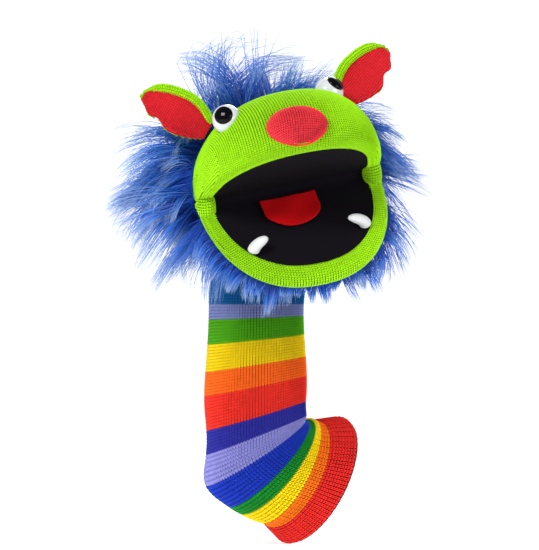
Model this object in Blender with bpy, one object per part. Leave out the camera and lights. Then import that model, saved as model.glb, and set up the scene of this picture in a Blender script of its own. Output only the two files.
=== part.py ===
"""Sock puppet: a knitted monster head on a long striped arm sleeve, all sizes in metres.

The origin is the centre of the arm opening. +Z is up, the puppet looks along -Y, and left and
right are the viewer's. The head is described in its own frame, which sits on the fold of the
mouth: x runs along the fold, -y runs forward over the palate, and z stands on the palate.
"""
import math

import bmesh
import bpy
from mathutils import Matrix, Vector

# ---------------------------------------------------------------- driving dimensions
GAP = 0.0004                    # clearance between pieces that touch
KNIT = 0.0028                   # thickness of the doubled knit
FOLD_AT = Vector((-0.0235, -0.098, 0.2465))
HEAD_YAW = 13.0                 # degrees, towards the viewer's right
HEAD_ROLL = 11.0                # degrees, viewer's right side higher
HEAD_PITCH = 17.0               # degrees, palate tips up towards the front
JAW_OPEN = 64.0                 # degrees between palate and jaw at rest
HEAD_HALF = 0.078               # half width of the head at the corners of the mouth
PLATE_HALF = 0.0655             # half width of the mouth boards
PLATE_LONG = 0.084              # from the fold to the front of the mouth boards
PLATE_BACK = 0.0085             # where the boards start, in front of the fold
BOARD = 0.002                   # thickness of the boards
FELT = 0.001                    # thickness of the mouth lining
FULLNESS = 2.3                  # exponent of the rounded sections, 2 is an ellipse
ROUND = 28                      # points round the sleeve
ACROSS = 22                     # steps across the head

# sleeve sections: outer and inner end of the section in x and z, its middle in y, half depth
# in y, and how far the near side leans out along the arm
SLEEVE = {
    "cuff_mouth": ((-0.0275, -0.0505), (0.0275, 0.0505), 0.000, 0.049, 0.024),
    "cuff_seam": ((-0.0411, -0.0365), (0.0056, 0.0486), -0.009, 0.045, 0.020),
    "orange_edge": ((-0.0490, -0.0330), (0.0010, 0.0500), -0.013, 0.044, 0.017),
    "yellow_edge": ((-0.0628, -0.0263), (-0.0012, 0.0502), -0.018, 0.043, 0.014),
    "green_edge": ((-0.0726, -0.0203), (-0.0046, 0.0502), -0.022, 0.042, 0.010),
    "blue_edge": ((-0.0904, -0.0025), (-0.0071, 0.0520), -0.028, 0.040, 0.004),
    "navy_low": ((-0.0913, 0.0222), (-0.0073, 0.0560), -0.031, 0.038, 0.000),
    "navy_top": ((-0.0913, 0.0434), (-0.0083, 0.0681), -0.032, 0.037, 0.000),
    "orange_low": ((-0.0921, 0.0723), (-0.0083, 0.0893), -0.032, 0.037, 0.000),
    "green_low": ((-0.0900, 0.1140), (-0.0088, 0.1230), -0.032, 0.037, 0.000),
    "turn_seam": ((-0.0880, 0.1500), (-0.0095, 0.1500), -0.032, 0.037, 0.000),
    "tilt_low": ((-0.0875, 0.1625), (-0.0095, 0.1625), -0.032, 0.037, 0.000),
    "tilt_top": ((-0.0870, 0.1745), (-0.0093, 0.1745), -0.0325, 0.037, 0.000),
    "nod_low": ((-0.0865, 0.1835), (-0.0090, 0.1835), -0.033, 0.037, 0.000),
    "nod_top": ((-0.0860, 0.2030), (-0.0085, 0.2030), -0.034, 0.038, 0.000),
}
NECK = SLEEVE["nod_top"]
NECK_RISE = 0.0012              # the head starts this far above the last sleeve section

# profile of the face over the palate, (y, z, half width), from inside the lip to the fur line
FACE = [
    (-0.0855, 0.0012, 0.0668), (-0.0930, 0.0012, 0.0715), (-0.1000, 0.0050, 0.0755),
    (-0.1030, 0.0130, 0.0775), (-0.1020, 0.0252, 0.0780), (-0.0953, 0.0415, 0.0780),
    (-0.0805, 0.0545, 0.0780), (-0.0585, 0.0625, 0.0780), (-0.0330, 0.0660, 0.0780),
    (-0.0090, 0.0666, 0.0780),
]
# profile of the jaw under its board, (y, z, half width), from inside the lip to the throat
CHIN = [
    (-0.0855, -0.0012, 0.0668), (-0.0920, -0.0012, 0.0715), (-0.0975, -0.0045, 0.0755),
    (-0.0990, -0.0105, 0.0775), (-0.0950, -0.0165, 0.0775), (-0.0830, -0.0220, 0.0775),
    (-0.0640, -0.0265, 0.0775), (-0.0420, -0.0285, 0.0775), (-0.0220, -0.0290, 0.0775),
    (-0.0060, -0.0280, 0.0775),
]
# profile of the hood behind the face: inner skin (y, z) down to the neck
HOOD = [(-0.0075, 0.0666), (0.0150, 0.0648), (0.0450, 0.0592), (0.0780, 0.0455), (0.1020, 0.0230)]
PILE_TOP = [(0.0060, 0.1280), (0.0450, 0.1350), (0.0950, 0.1040), (0.1350, 0.0640), (0.1480, 0.0220)]

EAR_REACH = 0.0035              # the ear's root stands this far off the face
EAR_SHAPE = [(-0.0085, 0.000), (-0.0150, 0.014), (-0.0165, 0.028), (-0.0130, 0.044),
             (-0.0060, 0.056), (0.0040, 0.064), (0.0060, 0.055), (0.0120, 0.047),
             (0.0110, 0.038), (0.0170, 0.028), (0.0150, 0.017), (0.0085, 0.000)]

NOSE_AT = (-2.7, 3.6)           # angle across the face, and how far up its profile
NOSE_HALF = 0.0255              # half width of the nose
NOSE_HEIGHT = 0.034
EYE_HALF = 0.0120               # radius of the eye's dome
PUPIL_HALF = 0.0082
# where each eye, ear and tooth stands, and which way it points
EYES = {"left": ((-36.5, 6.05), (-0.397, -0.909, 0.128)),
        "right": ((28.0, 7.0), (0.571, -0.693, 0.440))}
EARS = {"left": ((-44.5, 7.6), 42.0, -1), "right": ((39.5, 7.7), 38.0, 1)}
NOSE_DEPTH = 0.0145             # how far the nose stands out
PUPIL_HIGH = 0.0040             # height of the pupil's dome
SHANK = 0.0022                  # radius of the post behind each eye
POCKET_WALL = 0.0012            # thickness of the pocket cloth
TONGUE_AT = (-0.004, -0.0115, 0.0020)   # the tongue's root in the jaw's frame
TEETH = {"left": (-0.0455, -0.0600, 20.0), "right": (0.0490, -0.0560, -28.0)}

COLOURS = {
    "lime": (0.30, 0.68, 0.01), "dark_lime": (0.12, 0.38, 0.01), "red": (0.80, 0.02, 0.03),
    "nose_red": (0.86, 0.07, 0.09), "blue": (0.02, 0.11, 0.50), "navy": (0.02, 0.02, 0.25),
    "teal": (0.0, 0.07, 0.20), "orange": (0.90, 0.18, 0.01),
    "black": (0.006, 0.005, 0.008), "white": (0.85, 0.85, 0.84), "board": (0.55, 0.45, 0.33),
    "padding": (0.78, 0.77, 0.74), "cuff": (0.78, 0.03, 0.02),
}


# ---------------------------------------------------------------- scene and materials
def clear_scene():
    for obj in list(bpy.data.objects):
        bpy.data.objects.remove(obj, do_unlink=True)


def finish_of(name, colour, roughness):
    material = bpy.data.materials.new(name)
    material.use_nodes = True
    shader = material.node_tree.nodes["Principled BSDF"]
    shader.inputs["Base Color"].default_value = (*COLOURS[colour], 1.0)
    shader.inputs["Roughness"].default_value = roughness
    return material


def pivot(name, location, matrix=None, parent=None):
    """An empty on a joint's axis."""
    empty = bpy.data.objects.new(name, None)
    bpy.context.scene.collection.objects.link(empty)
    world = Matrix.Translation(location)
    if matrix is not None:
        world = world @ matrix
    if parent is not None:
        empty.parent = parent
    empty.matrix_world = world
    bpy.context.view_layer.update()
    return empty


def add_piece(name, mesh, parent, colour, roughness=0.85, local=False):
    """Link a mesh as a named piece; its points are in world space, or in the parent's if local."""
    mesh.shade_smooth()
    mesh.set_sharp_from_angle(angle=math.radians(50))
    obj = bpy.data.objects.new(name, mesh)
    bpy.context.scene.collection.objects.link(obj)
    obj.data.materials.append(finish_of(name, colour, roughness))
    obj.parent = parent
    if not local:
        obj.matrix_parent_inverse = parent.matrix_world.inverted()
    return obj


def solidify(obj, thickness):
    """Give a sheet its wall, laid on the inner side of its faces."""
    wall = obj.modifiers.new("wall", "SOLIDIFY")
    wall.thickness = thickness
    wall.offset = -1.0
    wall.use_even_offset = True
    return obj


# ---------------------------------------------------------------- shapes
def power(value, exponent):
    return math.copysign(abs(value) ** exponent, value)


def spread(start, end, steps):
    return [start + (end - start) * i / steps for i in range(steps + 1)]


def smooth_path(points, steps):
    """Points on a smooth curve through the given ones, with steps between each two."""
    path = []
    last = len(points) - 1
    for i in range(last):
        p0, p1 = points[max(i - 1, 0)], points[i]
        p2, p3 = points[i + 1], points[min(i + 2, last)]
        for k in range(steps):
            t = k / steps
            path.append(tuple(
                0.5 * (2 * b + (c - a) * t + (2 * a - 5 * b + 4 * c - d) * t * t
                       + (3 * b - a - 3 * c + d) * t ** 3)
                for a, b, c, d in zip(p0, p1, p2, p3)))
    path.append(tuple(points[last]))
    return path


def grid_mesh(name, rows, ring=False, tip=None):
    """A sheet through rows of points; a ring closes each row, a tip closes the last row."""
    mesh = bpy.data.meshes.new(name)
    bm = bmesh.new()
    grid = [[bm.verts.new(p) for p in row] for row in rows]
    count = len(rows[0])
    for low, high in zip(grid, grid[1:]):
        for i in range(count if ring else count - 1):
            j = (i + 1) % count
            bm.faces.new((low[i], low[j], high[j], high[i]))
    if tip is not None:
        end = bm.verts.new(tip)
        for i in range(count if ring else count - 1):
            bm.faces.new((grid[-1][i], grid[-1][(i + 1) % count], end))
    bm.normal_update()
    bm.to_mesh(mesh)
    bm.free()
    return mesh


def walled_mesh(name, outer, inner, ring=False):
    """A closed solid between two sheets of the same rows and points."""
    mesh = bpy.data.meshes.new(name)
    bm = bmesh.new()
    skins = [[[bm.verts.new(p) for p in row] for row in rows] for rows in (outer, inner)]
    count = len(outer[0])
    steps = count if ring else count - 1
    for grid in skins:
        for low, high in zip(grid, grid[1:]):
            for i in range(steps):
                j = (i + 1) % count
                bm.faces.new((low[i], low[j], high[j], high[i]))
    for end in (0, -1):
        for i in range(steps):
            j = (i + 1) % count
            bm.faces.new((skins[0][end][i], skins[0][end][j], skins[1][end][j], skins[1][end][i]))
    if not ring:
        for side in (0, -1):
            for a, b in zip(range(len(outer)), range(1, len(outer))):
                bm.faces.new((skins[0][a][side], skins[0][b][side],
                              skins[1][b][side], skins[1][a][side]))
    bmesh.ops.recalc_face_normals(bm, faces=bm.faces)
    bm.to_mesh(mesh)
    bm.free()
    return mesh


def slab_mesh(name, outline, low, high, bevel=0.0):
    """A flat plate with the given outline in x and y, between two heights."""
    mesh = bpy.data.meshes.new(name)
    bm = bmesh.new()
    base = bm.faces.new([bm.verts.new((x, y, low)) for x, y in outline])
    pushed = bmesh.ops.extrude_face_region(bm, geom=[base])
    top = [v for v in pushed["geom"] if isinstance(v, bmesh.types.BMVert)]
    bmesh.ops.translate(bm, verts=top, vec=(0, 0, high - low))
    bmesh.ops.recalc_face_normals(bm, faces=bm.faces)
    if bevel > 0:
        rims = [e for e in bm.edges if abs(e.verts[0].co.z - e.verts[1].co.z) < 1e-7]
        bmesh.ops.bevel(bm, geom=rims, offset=bevel, segments=2, affect="EDGES")
    bmesh.ops.triangulate(bm, faces=bm.faces)
    bm.to_mesh(mesh)
    bm.free()
    return mesh


def turned_mesh(name, profile, sides):
    """A turned solid about z; a profile of radius and height that ends on the axis, or a ring."""
    mesh = bpy.data.meshes.new(name)
    bm = bmesh.new()
    rings = []
    on_axis = profile[0][0] == 0.0
    for radius, height in profile[1:-1] if on_axis else profile:
        rings.append([bm.verts.new((radius * math.cos(math.tau * k / sides),
                                    radius * math.sin(math.tau * k / sides), height))
                      for k in range(sides)])
    for low, high in zip(rings, rings[1:]):
        for k in range(sides):
            bm.faces.new((low[k], low[(k + 1) % sides], high[(k + 1) % sides], high[k]))
    if not on_axis:
        for k in range(sides):
            j = (k + 1) % sides
            bm.faces.new((rings[-1][k], rings[-1][j], rings[0][j], rings[0][k]))
    for ring, (_, height) in ((rings[0], profile[0]), (rings[-1], profile[-1])) if on_axis else ():
        pole = bm.verts.new((0, 0, height))
        for k in range(sides):
            bm.faces.new((ring[k], ring[(k + 1) % sides], pole))
    bmesh.ops.recalc_face_normals(bm, faces=bm.faces)
    bm.to_mesh(mesh)
    bm.free()
    return mesh


def fan_row(tip, half, pole=(0.0, 0.0), shift=0.0, reach=88.0, start=None, steps=ACROSS):
    """One rounded row across the head, from its right side over the tip to its left side."""
    begin = -reach if start is None else start
    row = []
    for angle in spread(math.radians(begin), math.radians(reach), steps):
        across = power(math.sin(angle), 2 / FULLNESS)
        out = power(math.cos(angle), 2 / FULLNESS)
        row.append((shift + half * across, pole[0] + (tip[0] - pole[0]) * out,
                    pole[1] + (tip[1] - pole[1]) * out))
    return row


# ---------------------------------------------------------------- sleeve
def section_points(section, wall=0.0):
    """A ring of the sleeve, or the ring one wall further in."""
    (ox, oz), (ix, iz), middle, depth, lean = section
    half = Vector(((ix - ox) / 2, 0, (iz - oz) / 2))
    centre = Vector(((ox + ix) / 2, middle, (oz + iz) / 2))
    along = Vector((-half.z, 0, half.x)).normalized()
    near = Vector((0, -depth, 0)) - along * lean
    half = half * (1 - wall / half.length)
    near = near * (1 - wall / near.length)
    return [centre + half * math.cos(a) + near * math.sin(a)
            for a in (math.tau * k / ROUND for k in range(ROUND))]


def blend_sections(names, steps):
    flat = [(*SLEEVE[n][0], *SLEEVE[n][1], *SLEEVE[n][2:]) for n in names]
    return [((s[0], s[1]), (s[2], s[3]), s[4], s[5], s[6]) for s in smooth_path(flat, steps)]


def tube_piece(name, names, steps, parent, colour, trim=0.0003, open_end=False):
    """A length of sleeve through the named sections, cut a little short where it meets others."""
    skins = []
    for wall in (0.0, KNIT):
        rows = [section_points(s, wall) for s in blend_sections(names, steps)]
        for end, inward in ((-1, -2),) if open_end else ((0, 1), (-1, -2)):
            rows[end] = [a + (b - a).normalized() * trim for a, b in zip(rows[end], rows[inward])]
        skins.append(rows)
    return add_piece(name, walled_mesh(name, *skins, ring=True), parent, colour)


def build_sleeve(cuff, elbow, turn, tilt):
    tube_piece("cuff_band", ["cuff_mouth", "cuff_seam"], 3, cuff, "cuff", open_end=True)
    tube_piece("lower_sleeve", ["cuff_seam", "orange_edge", "yellow_edge"], 1, cuff, "orange")
    tube_piece("elbow_gusset", ["yellow_edge", "green_edge", "blue_edge", "navy_low", "navy_top"],
               2, cuff, "navy", trim=0.0006)
    tube_piece("forearm_sleeve", ["navy_top", "orange_low", "green_low", "turn_seam"], 2,
               elbow, "red")
    tube_piece("wrist_sleeve", ["turn_seam", "tilt_low"], 1, turn, "teal")
    tube_piece("tilt_gusset", ["tilt_low", "tilt_top"], 1, turn, "teal", trim=0.0006)
    tube_piece("neck_band", ["tilt_top", "nod_low"], 1, tilt, "teal")
    tube_piece("nod_gusset", ["nod_low", "nod_top"], 2, tilt, "blue", trim=0.0006)


# ---------------------------------------------------------------- head
def head_matrix():
    return (Matrix.Rotation(math.radians(HEAD_YAW), 4, "Z")
            @ Matrix.Rotation(math.radians(-HEAD_ROLL), 4, "Y")
            @ Matrix.Rotation(math.radians(-HEAD_PITCH), 4, "X"))


def neck_ring(head, grow=0.0, front=False):
    """Half of the ring where the head meets the neck, in the head's frame, right to left."""
    (ox, _), (ix, oz), middle, depth, _ = NECK
    centre = Vector(((ox + ix) / 2, middle, oz + NECK_RISE))
    half = (ix - ox) / 2 + grow
    side = -1 if front else 1
    inverse = head.matrix_world.inverted()
    facing = math.radians(HEAD_YAW)
    right = Vector((math.cos(facing), math.sin(facing), 0))
    back = Vector((-math.sin(facing), math.cos(facing), 0))
    row = []
    for angle in spread(math.radians(-90), math.radians(90), ACROSS):
        reach = back * (depth + grow) * side * math.cos(angle)
        row.append(inverse @ (centre + right * half * math.sin(angle) + reach))
    return row


def mix_rows(a, b, t):
    return [Vector(p).lerp(Vector(q), t) for p, q in zip(a, b)]


def half_of(row, left):
    middle = len(row) // 2
    return row[:middle + 1] if left else row[middle:]


def profile_at(profile, t):
    """One point of a smooth profile; t counts its given points."""
    steps = 50
    return smooth_path(profile, steps)[round(t * steps)]


def on_surface(profile, angle, t):
    """A point of a fan surface, and the direction that stands out from it."""
    def point(a, at):
        y, z, half = profile_at(profile, at)
        across = power(math.sin(math.radians(a)), 2 / FULLNESS)
        out = power(math.cos(math.radians(a)), 2 / FULLNESS)
        return Vector((half * across, y * out, z * out))
    normal = (point(angle + 2, t) - point(angle - 2, t)).cross(
        point(angle, t + 0.2) - point(angle, t - 0.2)).normalized()
    return point(angle, t), normal


def cutter(name, mesh, parent):
    """A shape that others are cut by; it isn't a piece."""
    obj = bpy.data.objects.new(name, mesh)
    bpy.context.scene.collection.objects.link(obj)
    obj.parent = parent
    obj.display_type = "WIRE"
    obj.hide_render = True
    return obj


def combine(obj, operation, other):
    step = obj.modifiers.new(operation.lower() + "_" + other.name, "BOOLEAN")
    step.operation = operation
    step.object = other
    step.solver = "EXACT"
    return obj


def form_of(name, profile, parent, grow):
    """The room a shell takes up, a little larger than its outside."""
    path = smooth_path(profile, 2)
    outer = [fan_row((y * (1 + grow / 0.1), z + math.copysign(grow, z)), half + grow)
             for y, z, half in path]
    inner = [fan_row((y * 0.4, z * 0.4), half * 0.5) for y, z, half in path]
    return cutter(name, walled_mesh(name, outer, inner), parent)


def build_face(head):
    rows = [fan_row((y, z), half) for y, z, half in smooth_path(FACE, 2)]
    return solidify(add_piece("face_knit", grid_mesh("face_knit", rows), head, "lime", local=True), KNIT)


def pile_width(step):
    """How far the mane stands out sideways along the hood, widest behind the cheeks."""
    return (0.006, 0.030, 0.052, 0.062, 0.058)[step]


def build_hood(head):
    """The fur hood in two halves, sewn down the middle: cloth inside, tips of the pile outside."""
    inner = [fan_row(tip, HEAD_HALF) for tip in HOOD]
    outer = [fan_row(tip, HEAD_HALF + pile_width(i), pole=(0.004, -0.004))
             for i, tip in enumerate(PILE_TOP)]
    neck_in = neck_ring(head)
    neck_out = neck_ring(head, grow=0.020)
    inner = inner + [mix_rows(inner[-1], neck_in, 0.5), neck_in]
    outer = outer + [mix_rows(outer[-1], neck_out, 0.6), neck_out]
    for name, left in (("left_fur_hood", True), ("right_fur_hood", False)):
        a = [half_of(row, left) for row in outer]
        b = [half_of(row, left) for row in inner]
        seam = -1 if left else 0
        nudge = Vector((-GAP if left else GAP, 0, 0))
        for rows in (a, b):
            for row in rows:
                row[seam] = Vector(row[seam]) + nudge
        add_piece(name, walled_mesh(name, a, b), head, "blue", roughness=0.9, local=True)


def plate_outline(half, length, back, count=24):
    points = []
    for angle in spread(math.radians(-90), math.radians(90), count):
        x = half * power(math.sin(angle), 2 / FULLNESS)
        y = -length * power(math.cos(angle), 2 / FULLNESS)
        if y < -back:
            points.append((x, y))
    edge = half * (1 - (back / length) ** FULLNESS) ** (1 / FULLNESS)
    return [(-edge, -back)] + points + [(edge, -back)]


def build_plates(frame, prefix, side):
    """Mouth lining and stiff board; side is +1 over the palate and -1 under the jaw."""
    lining = plate_outline(PLATE_HALF, PLATE_LONG, PLATE_BACK)
    board = plate_outline(PLATE_HALF - 0.001, PLATE_LONG - 0.001, PLATE_BACK)
    first = 0.0003
    second = first + FELT + GAP
    low, high = sorted((side * first, side * (first + FELT)))
    add_piece(prefix + "_lining", slab_mesh(prefix + "_lining", lining, low, high),
              frame, "black", 0.95, local=True)
    low, high = sorted((side * second, side * (second + BOARD)))
    add_piece(prefix + "_board", slab_mesh(prefix + "_board", board, low, high),
              frame, "board", 0.8, local=True)


def pocket(name, frame, half, front, back, low, high):
    """A flat cloth pocket, open at the back, closed at its front."""
    rows = []
    centre = (low + high) / 2
    for t in (0.0, 0.35, 0.65, 0.85, 0.96):
        y = back + (front - back) * t
        size = (1 - t ** 2.6) ** 0.5
        flat = (1 - t ** 4) ** 0.5
        rows.append([(half * size * power(math.cos(a), 0.75), y,
                      centre + (high - low) / 2 * flat * power(math.sin(a), 0.75))
                     for a in (math.tau * k / 24 for k in range(24))])
    mesh = grid_mesh(name, rows, ring=True, tip=(0, front, centre))
    return solidify(add_piece(name, mesh, frame, "black", local=True), POCKET_WALL)


def build_padding(head):
    """Stuffing between the face and the finger pocket."""
    out_rows = [(-0.0950, 0.0120, 0.066), (-0.0940, 0.0252, 0.068), (-0.0850, 0.0425, 0.069),
                (-0.0600, 0.0555, 0.069), (-0.0330, 0.0600, 0.069), (-0.0120, 0.0610, 0.069)]
    in_rows = [(-0.0840, 0.0080, 0.060), (-0.0830, 0.0180, 0.060), (-0.0760, 0.0270, 0.060),
               (-0.0560, 0.0320, 0.060), (-0.0330, 0.0330, 0.060), (-0.0120, 0.0335, 0.060)]
    outer = [fan_row((y, z), half, pole=(-0.010, 0.006), reach=80, steps=14)
             for y, z, half in out_rows]
    inner = [fan_row((y, z), half, pole=(-0.010, 0.006), reach=80, steps=14)
             for y, z, half in in_rows]
    return add_piece("face_padding", walled_mesh("face_padding", outer, inner), head, "padding",
                     local=True)


def build_nose(head, form):
    """A stuffed knitted cap, sewn to the face, with its filling inside."""
    def cap(scale, depth):
        return [(NOSE_HALF * scale * math.cos(a), depth * math.sin(a))
                for a in spread(math.radians(90), 0.0, 6)]
    place, normal = on_surface(FACE, *NOSE_AT)
    turn = normal.to_track_quat("Z", "Y").to_matrix().to_4x4()
    stand = Matrix.Translation(place + normal * 0.001) @ turn
    stand = stand @ Matrix.Scale(NOSE_HEIGHT / (2 * NOSE_HALF), 4, (0, 1, 0))
    out, inn = cap(1.0, NOSE_DEPTH), cap(0.92, NOSE_DEPTH - 0.0018)
    sunk = -0.006
    shell = out + [(out[-1][0], sunk), (inn[-1][0], sunk)] + inn[::-1]
    cover = turned_mesh("nose_cover", [(0.0, shell[0][1])] + shell[1:-1] + [(0.0, shell[-1][1])], 24)
    fill = cap(0.90, NOSE_DEPTH - 0.0025)
    body = [(0.0, fill[0][1])] + fill[1:] + [(fill[-1][0], -0.001), (0.0, -0.001)]
    stuffing = turned_mesh("nose_stuffing", body, 18)
    for name, mesh, colour in (("nose_cover", cover, "nose_red"), ("nose_stuffing", stuffing, "padding")):
        mesh.transform(stand)
        combine(add_piece(name, mesh, head, colour, local=True), "DIFFERENCE", form)


def cylinder(name, radius, low, high, sides, parent, at):
    mesh = turned_mesh(name, [(0.0, low), (radius, low), (radius, high), (0.0, high)], sides)
    mesh.transform(at)
    return cutter(name, mesh, parent)


def build_eye(head, side, face, padding, form):
    """A safety eye: domed white with a shank through the knit, a black pupil and a washer."""
    (angle, t), look = EYES[side]
    place, normal = on_surface(FACE, angle, t)
    turn = Vector(look).normalized().to_track_quat("Z", "Y").to_matrix().to_4x4()
    at = Matrix.Translation(place + normal * 0.0016) @ turn
    upright = normal.to_track_quat("Z", "Y").to_matrix().to_4x4()
    through = Matrix.Translation(place) @ upright
    dome = [(EYE_HALF * math.cos(a), EYE_HALF * 0.95 * math.sin(a))
            for a in spread(0, math.radians(50), 4)]
    seat = dome[-1][1]
    skirt = [(0.0, -0.008), (EYE_HALF * 0.96, -0.008)]
    white = turned_mesh(side + "_eye_white", skirt + dome + [(0.0, seat)], 20)
    white.transform(at)
    eye = add_piece(side + "_eye_white", white, head, "white", 0.15, local=True)
    combine(eye, "DIFFERENCE", form)
    combine(eye, "UNION", cylinder(side + "_eye_shank", SHANK, -0.0100, 0.0030, 12, head, through))
    pit = [(PUPIL_HALF * math.cos(a), PUPIL_HIGH * math.sin(a)) for a in spread(0, math.radians(75), 4)]
    cap = [(0.0, seat + GAP)] + [(r, seat + GAP + h) for r, h in pit]
    pupil = turned_mesh(side + "_pupil", cap + [(0.0, seat + GAP + PUPIL_HIGH)], 20)
    pupil.transform(at)
    add_piece(side + "_pupil", pupil, head, "black", 0.05, local=True)
    hole = SHANK + GAP
    ring = [(hole, -0.0056), (0.0070, -0.0056), (0.0070, -0.0042), (hole, -0.0042)]
    washer = turned_mesh(side + "_eye_washer", ring, 14)
    washer.transform(through)
    add_piece(side + "_eye_washer", washer, head, "white", 0.4, local=True)
    combine(face, "DIFFERENCE",
            cylinder(side + "_shank_hole", SHANK + GAP, -0.0110, 0.0040, 12, head, through))
    combine(padding, "DIFFERENCE",
            cylinder(side + "_washer_room", 0.0080, -0.0120, 0.0040, 14, head, through))


# ---------------------------------------------------------------- jaw
def build_jaw(jaw):
    rows = [fan_row((y, z), half) for y, z, half in smooth_path(CHIN, 2)]
    chin = grid_mesh("chin_knit", [row[::-1] for row in rows])
    solidify(add_piece("chin_knit", chin, jaw, "lime", local=True), KNIT)
    outer = plate_outline(0.058, 0.080, 0.012, 20)
    hole = [(0.0185, -0.012), (0.0185, -0.0690), (-0.0185, -0.0690), (-0.0185, -0.012)]
    add_piece("jaw_padding", slab_mesh("jaw_padding", outer + hole, -0.0150, -0.0045),
              jaw, "padding", local=True)
    pocket("thumb_pocket", jaw, 0.0170, -0.0670, -0.0060, -0.0235, -0.0045)


def build_tooth(jaw, side):
    """A blunt felt horn that stands on the lining just inside the lip and leans inward."""
    x, y, lean = TEETH[side]
    profile = [(0.0, 0.0), (0.0042, 0.0), (0.0042, 0.0040), (0.0038, 0.0075), (0.0030, 0.0102),
               (0.0016, 0.0120), (0.0, 0.0126)]
    tooth = turned_mesh(side + "_tooth", profile, 12)
    tooth.transform(Matrix.Translation((x, y, 0.0006)) @ Matrix.Rotation(math.radians(lean), 4, "Y")
                    @ Matrix.Translation((0, 0, 0.0014)))
    add_piece(side + "_tooth", tooth, jaw, "white", 0.5, local=True)


def build_tongue(tongue):
    """A felt flap with a square root and a round tip."""
    half, length, straight = 0.0235, 0.033, 0.015
    outline = [(-half, 0.0), (half, 0.0)]
    for angle in spread(0, math.pi, 12):
        outline.append((half * math.cos(angle), -straight - (length - straight) * math.sin(angle)))
    mesh = slab_mesh("tongue", outline[::-1], -0.0008, 0.0014)
    add_piece("tongue", mesh, tongue, "red", 0.95, local=True)


def build_fold(head):
    """The lining's fold between the two boards, and the knit corners of the mouth."""
    middle = math.radians(-JAW_OPEN / 2)
    radius = 0.0042
    away = radius / math.sin(math.radians(JAW_OPEN / 2))
    centre = (-away * math.cos(middle), away * math.sin(middle))
    points = []
    for angle in spread(math.radians(80), math.radians(JAW_OPEN - 80), 8):
        points.append((centre[0] + radius * math.cos(angle) * 0.92,
                       centre[1] + radius * math.sin(angle) * 0.92))
    half = PLATE_HALF - 0.002
    fold = grid_mesh("mouth_fold", [[(-half, y, z), (half, y, z)] for y, z in points])
    solidify(add_piece("mouth_fold", fold, head, "black", local=True), FELT * 0.7)
    for name, sign in (("left_cheek_gusset", -1), ("right_cheek_gusset", 1)):
        low, high = sorted((sign * 0.0672, sign * 0.0770))
        wedge = [(0.0, 0.0)]
        margin = math.radians(4.5)
        for angle in spread(-margin, -math.radians(JAW_OPEN) + margin, 6):
            wedge.append((0.0130 * math.cos(angle), 0.0130 * math.sin(angle)))
        start = 0.0025
        shift = (start * math.cos(middle), start * math.sin(middle))
        outline = [(y + shift[0], z + shift[1]) for y, z in wedge]
        mesh = slab_mesh(name, outline, low, high)
        mesh.transform(Matrix(((0, 0, 1, 0), (-1, 0, 0, 0), (0, 1, 0, 0), (0, 0, 0, 1))))
        mesh.flip_normals()
        add_piece(name, mesh, head, "lime", local=True)


def build_throat(head):
    """Knit between the back of the jaw and the front of the neck."""
    tip = Matrix.Rotation(math.radians(JAW_OPEN), 4, "X") @ Vector((0, -0.0028, -0.0290))
    top = fan_row((tip.y, tip.z), HEAD_HALF - 0.004, pole=(0.006, -0.006), reach=84)
    bottom = neck_ring(head, front=True)
    rows = [mix_rows(top, bottom, t) for t in (0.06, 0.35, 0.65, 0.97)]
    obj = add_piece("throat_gusset", grid_mesh("throat_gusset", [row[::-1] for row in rows]),
                    head, "dark_lime", local=True)
    solidify(obj, 0.0016)


def build_beard(jaw):
    """Fur under the chin: cloth against the knit, tips of the pile outside."""
    outs = [(-0.0990, -0.0340, 0.084), (-0.0980, -0.0540, 0.090), (-0.0840, -0.0700, 0.092),
            (-0.0640, -0.0740, 0.090), (-0.0440, -0.0680, 0.088), (-0.0300, -0.0520, 0.084)]
    inns = smooth_path(CHIN, 1)[4:9]
    inns = [inns[0]] + inns
    outer = [fan_row((y, z), half, reach=62, steps=14) for y, z, half in outs]
    inner = [fan_row((y * 1.012 - 0.0004, z - 0.0012), half + 0.0012, reach=62, steps=14)
             for y, z, half in inns]
    inner[0] = [Vector(p) + Vector((0, -0.0006, 0.0012)) for p in inner[0]]
    add_piece("beard", walled_mesh("beard", outer, inner), jaw, "blue", 0.9, local=True)


# ---------------------------------------------------------------- ears
def ear_matrix(side):
    """The ear's own frame on the face: y runs to its tip, z faces forward."""
    (angle, t), rise, sign = EARS[side]
    place, normal = on_surface(FACE, angle, t)
    base = place + normal * EAR_REACH
    out = Vector((sign * math.cos(math.radians(rise)), 0.0, math.sin(math.radians(rise))))
    front = Vector((0, -1, 0))
    across = out.cross(front)
    turn = Matrix((across, out, front)).transposed().to_4x4()
    return Matrix.Translation(base) @ turn


def build_ear(ear, side):
    """Two knitted panels, the front one inset, the back one rolled round it."""
    sign = EARS[side][2]
    outline = [(sign * x, y) for x, y in EAR_SHAPE]
    back = slab_mesh(side + "_ear_back", outline, -0.0030, -0.0004, bevel=0.0004)
    add_piece(side + "_ear_back", back, ear, "lime", local=True)
    inset = [(x * 0.82, 0.001 + y * 0.90) for x, y in outline]
    front = slab_mesh(side + "_ear_front", inset, 0.0001, 0.0020, bevel=0.0004)
    add_piece(side + "_ear_front", front, ear, "red", local=True)


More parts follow.
